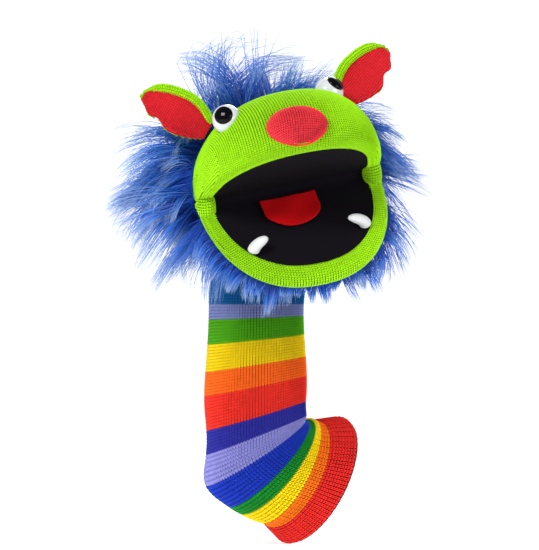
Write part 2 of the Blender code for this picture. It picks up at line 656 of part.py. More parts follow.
# ---------------------------------------------------------------- assembly
def build():
    clear_scene()
    root = pivot("arm_opening", (0, 0, 0))
    elbow = pivot("elbow_pivot", (-0.046, -0.029, 0.036), parent=root)
    turn = pivot("wrist_turn_pivot", (-0.0487, -0.032, 0.150), parent=elbow)
    tilt = pivot("wrist_tilt_pivot", (-0.0483, -0.032, 0.1685), parent=turn)
    nod = pivot("wrist_nod_pivot", (-0.0474, -0.0335, 0.1935), parent=tilt)
    head = pivot("head_frame", FOLD_AT, head_matrix(), parent=nod)
    opened = head_matrix() @ Matrix.Rotation(math.radians(JAW_OPEN), 4, "X")
    jaw = pivot("jaw_pivot", FOLD_AT, opened, parent=head)
    tongue = pivot("tongue_pivot", jaw.matrix_world @ Vector(TONGUE_AT), opened, parent=jaw)
    build_sleeve(root, elbow, turn, tilt)
    face = build_face(head)
    form = form_of("face_form", FACE, head, 0.0005)
    build_hood(head)
    build_plates(head, "palate", 1)
    pocket("finger_pocket", head, 0.0500, -0.0750, -0.0060, 0.0045, 0.0270)
    padding = build_padding(head)
    build_nose(head, form)
    build_fold(head)
    build_throat(head)
    build_plates(jaw, "jaw", -1)
    build_jaw(jaw)
    build_beard(jaw)
    build_tongue(tongue)
    for side in ("left", "right"):
        build_eye(head, side, face, padding, form)
        build_tooth(jaw, side)
        placed = head.matrix_world @ ear_matrix(side)
        ear = pivot(side + "_ear_pivot", placed.to_translation(),
                    placed.to_quaternion().to_matrix().to_4x4(), parent=head)
        build_ear(ear, side)


build()
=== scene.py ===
"""Sock puppet: a knitted monster head with a fur mane on a long striped sleeve.

The model's frame holds every size and joint. This file dresses it: knitted panels made stitch by
stitch, a mane made strand by strand, felt, plastic eyes and stuffing. All sizes are in metres,
+Z is up, the puppet looks along -Y, and left and right are the viewer's.
"""
import math

import bmesh
import bpy
import numpy as np
from bpy.props import FloatProperty, FloatVectorProperty, IntProperty, PointerProperty
from mathutils import Matrix, Vector, noise
from mathutils.bvhtree import BVHTree


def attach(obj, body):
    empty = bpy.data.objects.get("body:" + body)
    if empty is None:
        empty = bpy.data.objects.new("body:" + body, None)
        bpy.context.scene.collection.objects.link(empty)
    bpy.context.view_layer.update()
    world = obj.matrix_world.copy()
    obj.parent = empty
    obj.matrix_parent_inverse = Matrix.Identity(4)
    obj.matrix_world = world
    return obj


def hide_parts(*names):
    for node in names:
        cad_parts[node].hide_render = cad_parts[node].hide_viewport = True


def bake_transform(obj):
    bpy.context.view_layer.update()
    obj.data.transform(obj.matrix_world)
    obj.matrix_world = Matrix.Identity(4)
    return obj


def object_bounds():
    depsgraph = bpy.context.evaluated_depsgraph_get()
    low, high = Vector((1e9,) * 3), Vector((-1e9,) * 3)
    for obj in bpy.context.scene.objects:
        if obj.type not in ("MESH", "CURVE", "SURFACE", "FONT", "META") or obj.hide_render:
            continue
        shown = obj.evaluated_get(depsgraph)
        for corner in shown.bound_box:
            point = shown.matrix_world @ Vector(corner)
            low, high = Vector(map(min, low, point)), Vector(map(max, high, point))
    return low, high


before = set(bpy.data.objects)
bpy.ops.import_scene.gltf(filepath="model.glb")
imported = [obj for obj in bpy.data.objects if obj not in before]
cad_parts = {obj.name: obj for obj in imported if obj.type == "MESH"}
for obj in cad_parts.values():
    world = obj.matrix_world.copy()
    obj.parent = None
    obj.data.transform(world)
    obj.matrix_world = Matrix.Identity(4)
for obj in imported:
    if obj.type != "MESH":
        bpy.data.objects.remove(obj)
CAD_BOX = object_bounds()

bl_info = {
    "name": "Sock puppet",
    "version": (1, 0, 0),
    "blender": (4, 5, 0),
    "location": "3D View > Sidebar > Puppet",
    "description": "Dresses the jointed frame of a knitted sock puppet",
    "category": "Add Mesh",
}

# ---------------------------------------------------------------- shape of the puppet
FOLD_AT = Vector((-0.0235, -0.098, 0.2465))     # the fold of the mouth
HEAD_YAW, HEAD_ROLL, HEAD_PITCH = 13.0, 11.0, 17.0   # degrees: right, right side up, front up
JAW_OPEN = 64.0                                 # degrees between palate and jaw
HEAD_HALF = 0.078                               # half width at the corners of the mouth
FULLNESS = 2.3                                  # exponent of the rounded sections
WALL = 0.0026                                   # thickness of the doubled knit
ACROSS = 160                                    # columns of a panel across the head
SLEEVE_WALES = 104                              # columns of stitches round the sleeve
HEAD_WALES = 80                                 # columns of plain knit across the head

# sleeve sections: outer and inner end in x and z, middle in y, half depth, lean of the near side
SLEEVE = [
    (-0.0275, -0.0505, 0.0275, 0.0505, 0.000, 0.049, 0.024),
    (-0.0411, -0.0365, 0.0056, 0.0486, -0.009, 0.045, 0.020),
    (-0.0490, -0.0330, 0.0010, 0.0500, -0.013, 0.044, 0.017),
    (-0.0628, -0.0263, -0.0012, 0.0502, -0.018, 0.043, 0.014),
    (-0.0726, -0.0203, -0.0046, 0.0502, -0.022, 0.042, 0.010),
    (-0.0904, -0.0025, -0.0071, 0.0520, -0.028, 0.040, 0.004),
    (-0.0913, 0.0222, -0.0073, 0.0560, -0.031, 0.038, 0.000),
    (-0.0913, 0.0434, -0.0083, 0.0681, -0.032, 0.037, 0.000),
    (-0.0921, 0.0723, -0.0083, 0.0893, -0.032, 0.037, 0.000),
    (-0.0900, 0.1140, -0.0088, 0.1230, -0.032, 0.037, 0.000),
    (-0.0880, 0.1500, -0.0095, 0.1500, -0.032, 0.037, 0.000),
    (-0.0875, 0.1625, -0.0095, 0.1625, -0.032, 0.037, 0.000),
    (-0.0870, 0.1745, -0.0093, 0.1745, -0.0325, 0.037, 0.000),
    (-0.0865, 0.1835, -0.0090, 0.1835, -0.033, 0.037, 0.000),
    (-0.0860, 0.2030, -0.0085, 0.2030, -0.034, 0.038, 0.000),
]
SLEEVE_ENDS = len(SLEEVE) - 1
CUFF_TOP = 0.86                                 # where the cuff is sewn on, in sections
RIBS_TOP = 3.4                                  # where the ribs above it have faded out
CREASE_AT, CREASE = 5.3, 0.0022                 # the crease inside the elbow, and its depth
# where each yarn of the sleeve starts, counted in sections from the cuff's mouth
STRIPES = [
    (0.0, "cuff_red"), (CUFF_TOP, "orange"), (2.0, "yellow"), (3.0, "green"), (4.0, "royal_blue"),
    (5.0, "lavender"), (6.0, "navy"), (7.0, "red"), (8.0, "deep_orange"), (8.5, "gold"),
    (9.0, "leaf_green"), (9.55, "shaded_lavender"), (10.0, "teal_blue"),
]
# each length of sleeve: sections it spans, the two bodies it joins, where it starts and ends
# to turn from one to the other, and the nodes it stands for
LENGTHS = {
    "lower_sleeve": (0.0, 7.0, "cuff", "forearm", (-0.0205, -0.02, 0.0205), (-0.0388, -0.02, 0.0388),
                     ("cuff_band", "lower_sleeve", "elbow_gusset")),
    "forearm_sleeve": (7.0, 10.45, "forearm", "wrist", (-0.0487, -0.032, 0.085),
                       (-0.0487, -0.032, 0.1545), ("forearm_sleeve",)),
    "wrist_sleeve": (10.45, 12.1, "wrist", "neck", (-0.0483, -0.032, 0.1575),
                     (-0.0483, -0.032, 0.1745), ("wrist_sleeve", "tilt_gusset")),
    "neck_sleeve": (12.1, 14.0, "neck", "head", (-0.0474, -0.0335, 0.1770),
                    (-0.0474, -0.0335, 0.2020), ("neck_band", "nod_gusset")),
}
# profiles of the face over the palate and of the chin under the jaw, from inside the lip
# backwards: y and z in the head's or the jaw's own frame, and half the width there
FACE = [
    (-0.0855, 0.0012, 0.0668), (-0.0930, 0.0012, 0.0715), (-0.1000, 0.0050, 0.0755),
    (-0.1030, 0.0130, 0.0775), (-0.1020, 0.0252, 0.0780), (-0.0953, 0.0415, 0.0780),
    (-0.0805, 0.0545, 0.0780), (-0.0585, 0.0625, 0.0780), (-0.0330, 0.0660, 0.0780),
    (-0.0090, 0.0666, 0.0780),
]
CHIN = [
    (-0.0855, -0.0012, 0.0668), (-0.0920, -0.0012, 0.0715), (-0.0975, -0.0045, 0.0755),
    (-0.0990, -0.0105, 0.0775), (-0.0950, -0.0165, 0.0775), (-0.0830, -0.0220, 0.0775),
    (-0.0640, -0.0265, 0.0775), (-0.0420, -0.0285, 0.0775), (-0.0220, -0.0290, 0.0775),
    (-0.0060, -0.0280, 0.0775),
]
# y and z of the hood's skin behind the face, down to the neck
HOOD = [(-0.0075, 0.0666), (0.0150, 0.0648), (0.0450, 0.0592), (0.0780, 0.0455), (0.1020, 0.0230)]
NECK_Z = 0.2042                                 # where the head meets the neck

# a place on the face is an angle across it in degrees and a count of its profile's rows
NOSE_AT = (-2.1, 3.6)
NOSE = (0.0240, 0.0154, 0.0145)                 # half width, half height and depth
NOSE_TILT = -6.0                                # degrees it is sewn on out of level
# place of each eye, and the way it looks
EYES = {"left": ((-36.5, 6.05), (-0.397, -0.909, 0.128)),
        "right": ((28.0, 7.0), (0.571, -0.693, 0.440))}
EYE_HALF, PUPIL_HALF = 0.0120, 0.0082
EYE_FLAT = 0.95                                 # height of the dome's ball as a share of its width
EYE_CUT = 50.0                                  # degrees up the dome where the pupil sits
# place of each ear, how steeply it rises in degrees, and the side it is on
EARS = {"left": ((-44.5, 7.6), 42.0, -1), "right": ((39.5, 7.7), 38.0, 1)}
EAR_REACH = 0.0035                              # the ear's root stands this far off the face
# outline of an ear, root to tip along its rolled edge and back down its scalloped edge
EAR_ROLLED = [(-0.0085, 0.000), (-0.0160, 0.014), (-0.0182, 0.028), (-0.0148, 0.044),
              (-0.0076, 0.056), (0.0036, 0.064)]
EAR_SCALLOPED = [(0.0036, 0.064), (0.0088, 0.0560), (0.0150, 0.0480), (0.0140, 0.0400),
                 (0.0200, 0.0290), (0.0174, 0.0160), (0.0092, 0.000)]
# x and y of each tooth's foot on the jaw, and how far it leans inward
TEETH = {"left": (-0.0475, -0.0615, 0.0125), "right": (0.0490, -0.0570, 0.0150)}
LINING = (0.0676, 0.0868)                       # half width and length of the palate's felt
TONGUE_ROOT = Vector((-0.004, -0.0115, 0.0020))
TONGUE = (0.0235, 0.0330, 0.0150)               # half width, length and length of its straight part
# the fur stays between these two corners of a box
MANE_LIMITS = ((-0.173, -0.215, 0.120), (0.112, 0.062, 0.3855))

SHELL_ROWS = 6                                  # rows of faces in plain knit for each profile row
KNOTS = 6                                       # points along a strand of fur
SHADE_LEVELS = 8                                # tints that one dye lot of yarn shows
YARN_MAP = "OFBake"                             # UV map that holds each stitch's shade and row
BLACK = (0.0, 0.0, 0.0, 1.0)


def linear(red, green, blue):
    """A colour for the shaders from its everyday values of 0 to 255."""
    values = np.array((red, green, blue)) / 255
    return tuple(np.where(values <= 0.04045, values / 12.92, ((values + 0.055) / 1.055) ** 2.4))


# ---------------------------------------------------------------- what a user may change
def dye(name, red, green, blue):
    return FloatVectorProperty(name=name, description=f"Colour of the {name.lower()}",
                               subtype="COLOR", size=3, min=0.0, max=1.0,
                               default=linear(red, green, blue))


class PuppetColours(bpy.types.PropertyGroup):
    lime: dye("Lime yarn", 162, 230, 14)
    nose_red: dye("Nose yarn", 234, 56, 68)
    ear_red: dye("Ear yarn", 226, 38, 50)
    cuff_red: dye("Cuff yarn", 240, 44, 38)
    orange: dye("Orange yarn", 255, 124, 16)
    yellow: dye("Yellow yarn", 252, 222, 4)
    green: dye("Green yarn", 14, 140, 40)
    royal_blue: dye("Royal blue yarn", 20, 56, 188)
    lavender: dye("Lavender yarn", 144, 144, 216)
    navy: dye("Navy yarn", 44, 46, 160)
    red: dye("Red yarn", 238, 50, 36)
    deep_orange: dye("Deep orange yarn", 250, 106, 22)
    gold: dye("Gold yarn", 238, 206, 4)
    leaf_green: dye("Leaf green yarn", 74, 164, 8)
    # lavender yarn greyed by painted shadow, the head's shadow on the top of the sleeve
    shaded_lavender: dye("Shaded lavender yarn", 124, 134, 188)
    teal_blue: dye("Teal blue yarn", 4, 92, 156)
    # the roots' colour carries painted shade and the tips' colour painted light
    fur_root: dye("Fur roots", 8, 68, 180)
    fur_body: dye("Fur", 34, 116, 222)
    fur_tip: dye("Fur tips", 168, 194, 230)
    lining: dye("Mouth felt", 10, 7, 14)
    tongue: dye("Tongue felt", 178, 4, 10)


class PuppetKnit(bpy.types.PropertyGroup):
    wale: FloatProperty(name="Stitch width", description="Width of a stitch on the head",
                        default=0.0023, min=0.001, unit="LENGTH")
    course: FloatProperty(name="Stitch height", description="Height of a stitch on the head",
                          default=0.0020, min=0.001, unit="LENGTH")
    sleeve_course: FloatProperty(name="Sleeve stitch height",
                                 description="Height of a stitch on the sleeve",
                                 default=0.0023, min=0.001, unit="LENGTH")
    plumpness: FloatProperty(name="Yarn", description="Yarn radius as a share of a stitch",
                             default=0.20, min=0.05, max=0.5)
    rib_depth: FloatProperty(name="Rib depth", description="How far the ribs of the cuff stand out",
                             default=0.0003, min=0.0, unit="LENGTH")


class PuppetPile(bpy.types.PropertyGroup):
    strands: IntProperty(name="Strands", description="Strands in each part of the mane",
                         default=5200, min=100, max=7000)
    beard_strands: IntProperty(name="Beard strands", description="Strands under the chin",
                               default=4600, min=100, max=7000)
    girth: FloatProperty(name="Girth", description="Radius of a strand at its root",
                         default=0.00038, min=0.0001, unit="LENGTH")
    tufting: FloatProperty(name="Tufting", description="How far strands gather into tufts",
                           default=0.78, min=0.0, max=1.0)
    seed: IntProperty(name="Seed", description="Seed of everything random in the pile", default=11)


class PuppetStudio(bpy.types.PropertyGroup):
    distance: FloatProperty(name="Camera distance", description="From the lens to the arm opening",
                            default=3.0, min=0.5, unit="LENGTH")
    key: FloatProperty(name="Key light", description="Power of the main soft box in watts",
                       default=36.0, min=0.0)
    fill: FloatProperty(name="Surround", description="Strength of the white surround",
                        default=0.38, min=0.0)


# ---------------------------------------------------------------- node trees
class Wire:
    """An output socket that can be added, multiplied and so on like a number."""

    def __init__(self, tree, socket):
        self.tree, self.socket = tree, socket

    def maths(self, operation, *values):
        return self.tree.add("ShaderNodeMath", {"operation": operation},
                             dict(enumerate(values)))

    def __add__(self, other):
        return self.maths("ADD", self, other)

    def __sub__(self, other):
        return self.maths("SUBTRACT", self, other)

    def __rsub__(self, other):
        return self.maths("SUBTRACT", other, self)

    def __mul__(self, other):
        return self.maths("MULTIPLY", self, other)

    __radd__ = __add__
    __rmul__ = __mul__

    def __abs__(self):
        return self.maths("ABSOLUTE", self)

    def __pow__(self, other):
        return self.maths("POWER", self, other)

    def fraction(self):
        return self.maths("FRACT", self)

    def whole(self):
        return self.maths("FLOOR", self)

    def limited(self):
        return self.maths("MAXIMUM", self.maths("MINIMUM", self, 1.0), 0.0)


class Tree:
    """Adds nodes to a shader or geometry tree: a type, its settings, then its sockets."""

    def __init__(self, nodes):
        self.nodes = nodes

    def add(self, kind, settings=None, sockets=None, output=0):
        node = self.nodes.nodes.new(kind)
        for key, value in (settings or {}).items():
            if key == "stops":
                self.set_stops(node.color_ramp, value)
            elif key == "interpolation":
                node.color_ramp.interpolation = value
            else:
                setattr(node, key, value)
        for key, value in (sockets or {}).items():
            if isinstance(value, Wire):
                self.nodes.links.new(value.socket, node.inputs[key])
            elif value is not None:
                node.inputs[key].default_value = value
        return Wire(self, node.outputs[output])

    @staticmethod
    def set_stops(ramp, stops):
        while len(ramp.elements) < len(stops):
            ramp.elements.new(1.0)
        for element, (place, colour) in zip(ramp.elements, stops):
            element.position = place
            element.color = (*colour, 1.0)

    def mix(self, factor, first, second):
        """A colour between two colours."""
        sockets = {0: factor, 6: first, 7: second}
        return self.add("ShaderNodeMix", {"data_type": "RGBA"}, sockets, output=2)

    def noise(self, place, scale, detail=3.0):
        return self.add("ShaderNodeTexNoise", {}, {"Vector": place, "Scale": scale, "Detail": detail})

    def stretched(self, place, amounts):
        return self.add("ShaderNodeMapping", {}, {"Vector": place, "Scale": amounts})

    def object_place(self):
        return self.add("ShaderNodeTexCoord", {}, {}, output=3)


def rgba(colour):
    return (*colour, 1.0)


def darker(colour, share):
    return tuple(c * share for c in colour)


def new_material(name, roughness, specular=0.5):
    """A material with its Principled shader and a tree to build on."""
    material = bpy.data.materials.new(name)
    material.use_nodes = True
    shader = material.node_tree.nodes["Principled BSDF"]
    shader.inputs["Roughness"].default_value = roughness
    shader.inputs["Specular IOR Level"].default_value = specular
    return material, Tree(material.node_tree), shader


def connect(tree, shader, socket, wire):
    tree.nodes.links.new(wire.socket, shader.inputs[socket])


def bump(tree, shader, height, strength, distance):
    normal = tree.add("ShaderNodeBump", {}, {"Height": height, "Strength": strength,
                                             "Distance": distance})
    connect(tree, shader, "Normal", normal)


def map_axes(tree, name):
    """The two coordinates of a UV map."""
    uv = tree.add("ShaderNodeUVMap", {"uv_map": name}, {})
    split = tree.add("ShaderNodeSeparateXYZ", {}, {"Vector": uv})
    return split, Wire(tree, split.socket.node.outputs[1])


def stripe_ramp(tree, row):
    """The sleeve's yarns in their order, by how far up the sleeve a point is."""
    colours = bpy.context.scene.puppet_colours
    stops = [(start / SLEEVE_ENDS, getattr(colours, name)) for start, name in STRIPES]
    return tree.add("ShaderNodeValToRGB", {"interpolation": "CONSTANT", "stops": stops}, {"Fac": row})


def yarn_colour(tree, colour, row):
    """One colour, or the sleeve's stripes where no colour is given."""
    return stripe_ramp(tree, row) if colour is None else rgba(colour)


def yarn_material(name, colour=None):
    """Twisted yarn: painted shade darkens each leg towards its ends, where it dives under the next loop,
    and each stitch has its own tint.
    """
    material, tree, shader = new_material(name, 0.75, 0.18)
    shade, row = map_axes(tree, YARN_MAP)
    counted = shade * float(SHADE_LEVELS)
    leg = counted.fraction()
    tint = counted.whole() * (1.0 / (SHADE_LEVELS - 1))
    # painted shade: each leg is darkened towards both ends, where it dives under its neighbours
    dive_shade = abs(leg * 2.0 - 1.0) ** 3.0
    base = yarn_colour(tree, colour, row)
    dyed = tree.mix(tint * 0.10, base, BLACK)
    connect(tree, shader, "Base Color", tree.mix(dive_shade * 0.72, dyed, BLACK))
    return material


def cloth_material(name, colour=None, courses=150.0):
    """Plain knit under the stitches and inside the sleeve: V-shaped loops in the bump, and painted shade
    that darkens the whole cloth and its grooves most.
    """
    material, tree, shader = new_material(name, 0.92, 0.15)
    wale, row = map_axes(tree, "weave")
    slant = abs(wale.fraction() * 2.0 - 1.0)
    loop = abs((row * courses + slant * 0.7).fraction() * 2.0 - 1.0)
    groove_and_shade = (slant ** 4.0 + loop ** 2.0).limited()
    base = yarn_colour(tree, colour, row)
    place = tree.object_place()
    worn = tree.mix(tree.noise(place, 420.0) * 0.25, base, BLACK)
    # painted shade: the cloth is darkened all over, and most in its grooves, for the shade under and
    # between the stitches
    connect(tree, shader, "Base Color", tree.mix(groove_and_shade * 0.4 + 0.45, worn, BLACK))
    bump(tree, shader, 1.0 - groove_and_shade, 0.6, 0.0006)
    return material


def fur_material():
    """Long pile: painted shade deep at the root, bright along the strand, and painted light that pales the
    tip.
    """
    colours = bpy.context.scene.puppet_colours
    material, tree, shader = new_material("mane_pile", 0.60, 0.25)
    along, strand = map_axes(tree, YARN_MAP)
    # painted shade darkens the roots deep in the pile, and painted light pales the tips
    stops = [(0.0, darker(colours.fur_root, 0.75)), (0.25, colours.fur_root),
             (0.55, colours.fur_body), (1.0, colours.fur_tip)]
    body = tree.add("ShaderNodeValToRGB", {"stops": stops}, {"Fac": along})
    shaded = tree.mix((strand * 37.0).fraction() * 0.30, body, rgba(darker(colours.fur_root, 0.6)))
    # painted light: some strands pale further towards their tips
    tip_light = ((strand * 91.0).fraction() ** 4.0) * along
    connect(tree, shader, "Base Color", tree.mix(tip_light * 0.9, shaded, rgba(colours.fur_tip)))
    return material


def felt_material(name, colour, roughness=0.95, fuzz=0.35):
    """Pressed fibres: fine, matted and slightly uneven in colour, with painted highlights on the fibres."""
    material, tree, shader = new_material(name, roughness, 0.08)
    place = tree.object_place()
    fibres = tree.noise(tree.stretched(place, (1.0, 2.6, 1.0)), 1600.0, 6.0)
    clouds = tree.noise(place, 90.0, 2.0)
    mottled = tree.mix(clouds * fuzz, rgba(colour), rgba(darker(colour, 0.45)))
    # painted highlight: a brighter copy of the colour on scattered fibres
    lit = tuple(min(1.0, c * 1.6 + 0.004) for c in colour)
    connect(tree, shader, "Base Color", tree.mix((fibres ** 2.0) * 0.35, mottled, rgba(lit)))
    bump(tree, shader, fibres, 0.5, 0.0004)
    return material


def moulded_material(name, colour, roughness, coat=0.0, gloss=0.35):
    """Moulded plastic with faint flow marks."""
    material, tree, shader = new_material(name, roughness, gloss)
    place = tree.object_place()
    flow = tree.noise(tree.stretched(place, (1.0, 1.0, 0.4)), 160.0)
    connect(tree, shader, "Base Color", tree.mix(flow * 0.12, rgba(colour), rgba(darker(colour, 0.7))))
    connect(tree, shader, "Roughness", flow * 0.06 + roughness)
    shader.inputs["Coat Weight"].default_value = coat
    shader.inputs["Coat Roughness"].default_value = 0.03
    return material


def board_material():
    """Grey board: pulp with short fibres and flecks."""
    material, tree, shader = new_material("mouth_board", 0.9)
    place = tree.object_place()
    pulp = tree.noise(tree.stretched(place, (1.0, 3.0, 1.0)), 500.0, 5.0)
    flecks = tree.noise(place, 2200.0) ** 6.0
    paper = tree.mix(pulp * 0.5, (0.47, 0.39, 0.28, 1.0), (0.30, 0.25, 0.18, 1.0))
    connect(tree, shader, "Base Color", tree.mix(flecks * 2.0, paper, (0.12, 0.10, 0.08, 1.0)))
    bump(tree, shader, pulp, 0.3, 0.0002)
    return material


def batting_material():
    """Polyester filling: white, lumpy and matted."""
    material, tree, shader = new_material("fibre_filling", 1.0)
    place = tree.object_place()
    strands = tree.noise(place, 700.0, 8.0)
    lumps = tree.noise(place, 60.0, 2.0)
    connect(tree, shader, "Base Color",
            tree.mix(lumps * 0.5, (0.82, 0.81, 0.78, 1.0), (0.60, 0.60, 0.60, 1.0)))
    bump(tree, shader, strands + lumps, 0.8, 0.0012)
    return material


# ---------------------------------------------------------------- curves and surfaces
def smooth_curve(points, at):
    """Points on a smooth curve through the rows of points; at counts those rows."""
    points = np.asarray(points, float)
    at = np.clip(np.asarray(at, float), 0, len(points) - 1)
    low = np.minimum(at.astype(int), len(points) - 2)
    t = (at - low).reshape((-1,) + (1,) * (points.ndim - 1))
    p0, p1 = points[np.maximum(low - 1, 0)], points[low]
    p2, p3 = points[low + 1], points[np.minimum(low + 2, len(points) - 1)]
    return 0.5 * (2 * p1 + (p2 - p0) * t + (2 * p0 - 5 * p1 + 4 * p2 - p3) * t ** 2
                  + (3 * p1 - p0 - 3 * p2 + p3) * t ** 3)


def unit(vectors):
    return vectors / np.maximum(np.linalg.norm(vectors, axis=-1, keepdims=True), 1e-9)


def signed_power(values, exponent):
    return np.sign(values) * np.abs(values) ** exponent


def place_by(matrix, points):
    """Points moved by a matrix."""
    m = np.array(matrix)
    return np.asarray(points) @ m[:3, :3].T + m[:3, 3]


def arc_lengths(points):
    return np.concatenate([[0.0], np.cumsum(np.linalg.norm(np.diff(points, axis=0), axis=1))])


HEAD = (Matrix.Translation(FOLD_AT) @ Matrix.Rotation(math.radians(HEAD_YAW), 4, "Z")
        @ Matrix.Rotation(math.radians(-HEAD_ROLL), 4, "Y")
        @ Matrix.Rotation(math.radians(-HEAD_PITCH), 4, "X"))
JAW = HEAD @ Matrix.Rotation(math.radians(JAW_OPEN), 4, "X")


def fan_row(tip, half, reach=88.5, pole=(0.0, 0.0)):
    """One rounded row across the head, from its left corner over the tip to its right corner."""
    angle = np.radians(np.linspace(-reach, reach, ACROSS + 1))
    across = signed_power(np.sin(angle), 2 / FULLNESS)
    out = signed_power(np.cos(angle), 2 / FULLNESS)
    return np.stack([half * across, pole[0] + (tip[0] - pole[0]) * out,
                     pole[1] + (tip[1] - pole[1]) * out], axis=-1)


def neck_row(front):
    """Half of the ring where the head meets the neck, left to right."""
    ox, _, ix, _, middle, depth, _ = SLEEVE[-1]
    half = (ix - ox) / 2
    yaw = math.radians(HEAD_YAW)
    right = np.array((math.cos(yaw), math.sin(yaw), 0.0))
    back = np.array((-math.sin(yaw), math.cos(yaw), 0.0)) * (-1 if front else 1)
    angle = np.radians(np.linspace(-90, 90, ACROSS + 1))[:, None]
    centre = np.array(((ox + ix) / 2, middle, NECK_Z))
    return centre + right * half * np.sin(angle) + back * depth * np.cos(angle)


class Cloth:
    """A surface as a fine grid of points: u counts its columns, v its given rows."""

    def __init__(self, rows, closed=False, fine=8):
        rows = np.asarray(rows, float)
        self.closed, self.fine, self.last = closed, fine, len(rows) - 1
        self.columns = rows.shape[1]
        self.grid = smooth_curve(rows, np.linspace(0, self.last, self.last * fine + 1))
        self.facing = 1.0
        middle = np.array([self.columns / 2 - 0.5]), np.array([self.last / 2])
        point, _, _, out = self.frame(*middle)
        if np.dot(out[0], point[0] - self.grid.reshape(-1, 3).mean(axis=0)) < 0:
            self.facing = -1.0

    def at(self, u, v):
        u, v = np.broadcast_arrays(np.asarray(u, float), np.asarray(v, float))
        v = np.clip(v, 0, self.last) * self.fine
        i = np.minimum(v.astype(int), len(self.grid) - 2)
        t = (v - i)[..., None]
        if self.closed:
            j = np.floor(u).astype(int)
            s = (u - j)[..., None]
            j, k = j % self.columns, (j + 1) % self.columns
        else:
            u = np.clip(u, 0, self.columns - 1)
            j = np.minimum(u.astype(int), self.columns - 2)
            s = (u - j)[..., None]
            k = j + 1
        low = self.grid[i, j] * (1 - s) + self.grid[i, k] * s
        high = self.grid[i + 1, j] * (1 - s) + self.grid[i + 1, k] * s
        return low * (1 - t) + high * t

    def frame(self, u, v):
        """Point, and the directions across, along and out of the cloth."""
        across = unit(self.at(u + 1.0, v) - self.at(u - 1.0, v))
        along = unit(self.at(u, v + 0.12) - self.at(u, v - 0.12))
        out = unit(np.cross(across, along)) * self.facing
        return self.at(u, v), across, along, out

    def tube_sites(self, first, last, wales, course):
        """Stitches in straight columns round a tube."""
        v = np.linspace(first, last, 300)
        columns = np.arange(self.columns)
        lines = self.at(columns[None, :], v[:, None])
        mean = np.linalg.norm(np.diff(lines, axis=0), axis=2).mean(axis=1)
        run = np.concatenate([[0.0], np.cumsum(mean)])
        count = max(1, round(run[-1] / course))
        edges = np.interp(np.linspace(0, run[-1], count + 1), run, v)
        rows = (edges[1:] + edges[:-1]) / 2
        u = (np.arange(wales) + 0.5) * self.columns / wales
        u, rows, low, high = np.broadcast_arrays(u[None, :], rows[:, None], edges[:-1, None],
                                                 edges[1:, None])
        step = self.columns / wales / 2
        wide = np.linalg.norm(self.at(u + step, rows) - self.at(u - step, rows), axis=-1)
        tall = np.linalg.norm(self.at(u, high) - self.at(u, low), axis=-1)
        wale = np.broadcast_to(np.arange(wales)[None, :], u.shape)
        return [a.reshape(-1) for a in (u, rows, wide, tall, wale)]

    def panel_sites(self, first, last, wale, course):
        """Stitches of one size on a panel, fewer of them where it narrows."""
        v = np.linspace(first, last, 300)
        middle = (self.columns - 1) / 2
        run = arc_lengths(self.at(middle, v))
        count = max(1, round(run[-1] / course))
        rows = np.interp((np.arange(count) + 0.5) * run[-1] / count, run, v)
        half_step = np.gradient(rows) / 2
        sites = []
        for number, (row, half) in enumerate(zip(rows, half_step)):
            columns = np.arange(self.columns, dtype=float)
            arc = arc_lengths(self.at(columns, row))
            arc = arc - np.interp(middle, columns, arc)
            counted = np.arange(math.ceil(arc[0] / wale), math.floor(arc[-1] / wale)) + 0.5
            u = np.interp(counted * wale, arc, columns)
            tall = np.linalg.norm(self.at(u, row + half) - self.at(u, row - half), axis=-1)
            skip = 2 ** np.clip(np.floor(np.log2(course / np.maximum(tall, 1e-6)) + 0.3), 0, 4)
            kept = number % skip == 0
            sites.append(np.stack([u, np.full_like(u, row), np.full_like(u, wale), tall * skip,
                                   counted - 0.5], axis=1)[kept])
        return list(np.concatenate(sites).T)


def sleeve_cloth():
    """The whole sleeve, with the soft folds that worn knit takes."""
    angle = math.tau * np.arange(SLEEVE_WALES * 2) / (SLEEVE_WALES * 2)
    rows = []
    for ox, oz, ix, iz, middle, depth, lean in SLEEVE:
        half = np.array(((ix - ox) / 2, 0.0, (iz - oz) / 2))
        along = unit(np.array((-half[2], 0.0, half[0])))
        near = np.array((0.0, -depth, 0.0)) - along * lean
        centre = np.array(((ox + ix) / 2, middle, (oz + iz) / 2))
        rows.append(centre + np.cos(angle)[:, None] * half + np.sin(angle)[:, None] * near)
    cloth = Cloth(rows, closed=True)
    level = np.linspace(0, SLEEVE_ENDS, len(cloth.grid))[:, None]
    slack = np.clip(level - 0.8, 0, 1) * np.clip((13.6 - level), 0, 1)
    fold = (np.sin(angle[None, :] * 3 + level * 1.1) * 0.0005
            + np.sin(angle[None, :] * 2 - level * 2.3 + 1.0) * 0.0006)
    inside = np.clip(np.cos(angle[None, :]), 0, 1) ** 2
    creased = np.exp(-((level - CREASE_AT) / 0.55) ** 2) * inside * CREASE
    _, _, _, out = cloth.frame(*np.broadcast_arrays(np.arange(cloth.columns, dtype=float)[None, :], level))
    cloth.grid = cloth.grid + out * (fold * slack - creased)[..., None]
    return cloth


def head_cloth(profile, matrix):
    return Cloth([place_by(matrix, fan_row((y, z), half)) for y, z, half in profile])


def hood_cloth():
    rows = [place_by(HEAD, fan_row(tip, HEAD_HALF, reach=88.0)) for tip in HOOD]
    neck = neck_row(front=False)
    return Cloth(rows + [rows[-1] * 0.5 + neck * 0.5, neck])


def throat_cloth():
    """Knit between the back of the jaw and the front of the neck."""
    tip = Matrix.Rotation(math.radians(JAW_OPEN), 4, "X") @ Vector((0, -0.0028, -0.0290))
    top = place_by(HEAD, fan_row((tip.y, tip.z), HEAD_HALF - 0.004, reach=84.0, pole=(0.006, -0.006)))
    neck = neck_row(front=True)
    return Cloth([top * (1 - t) + neck * t for t in (0.02, 0.35, 0.65, 1.0)])


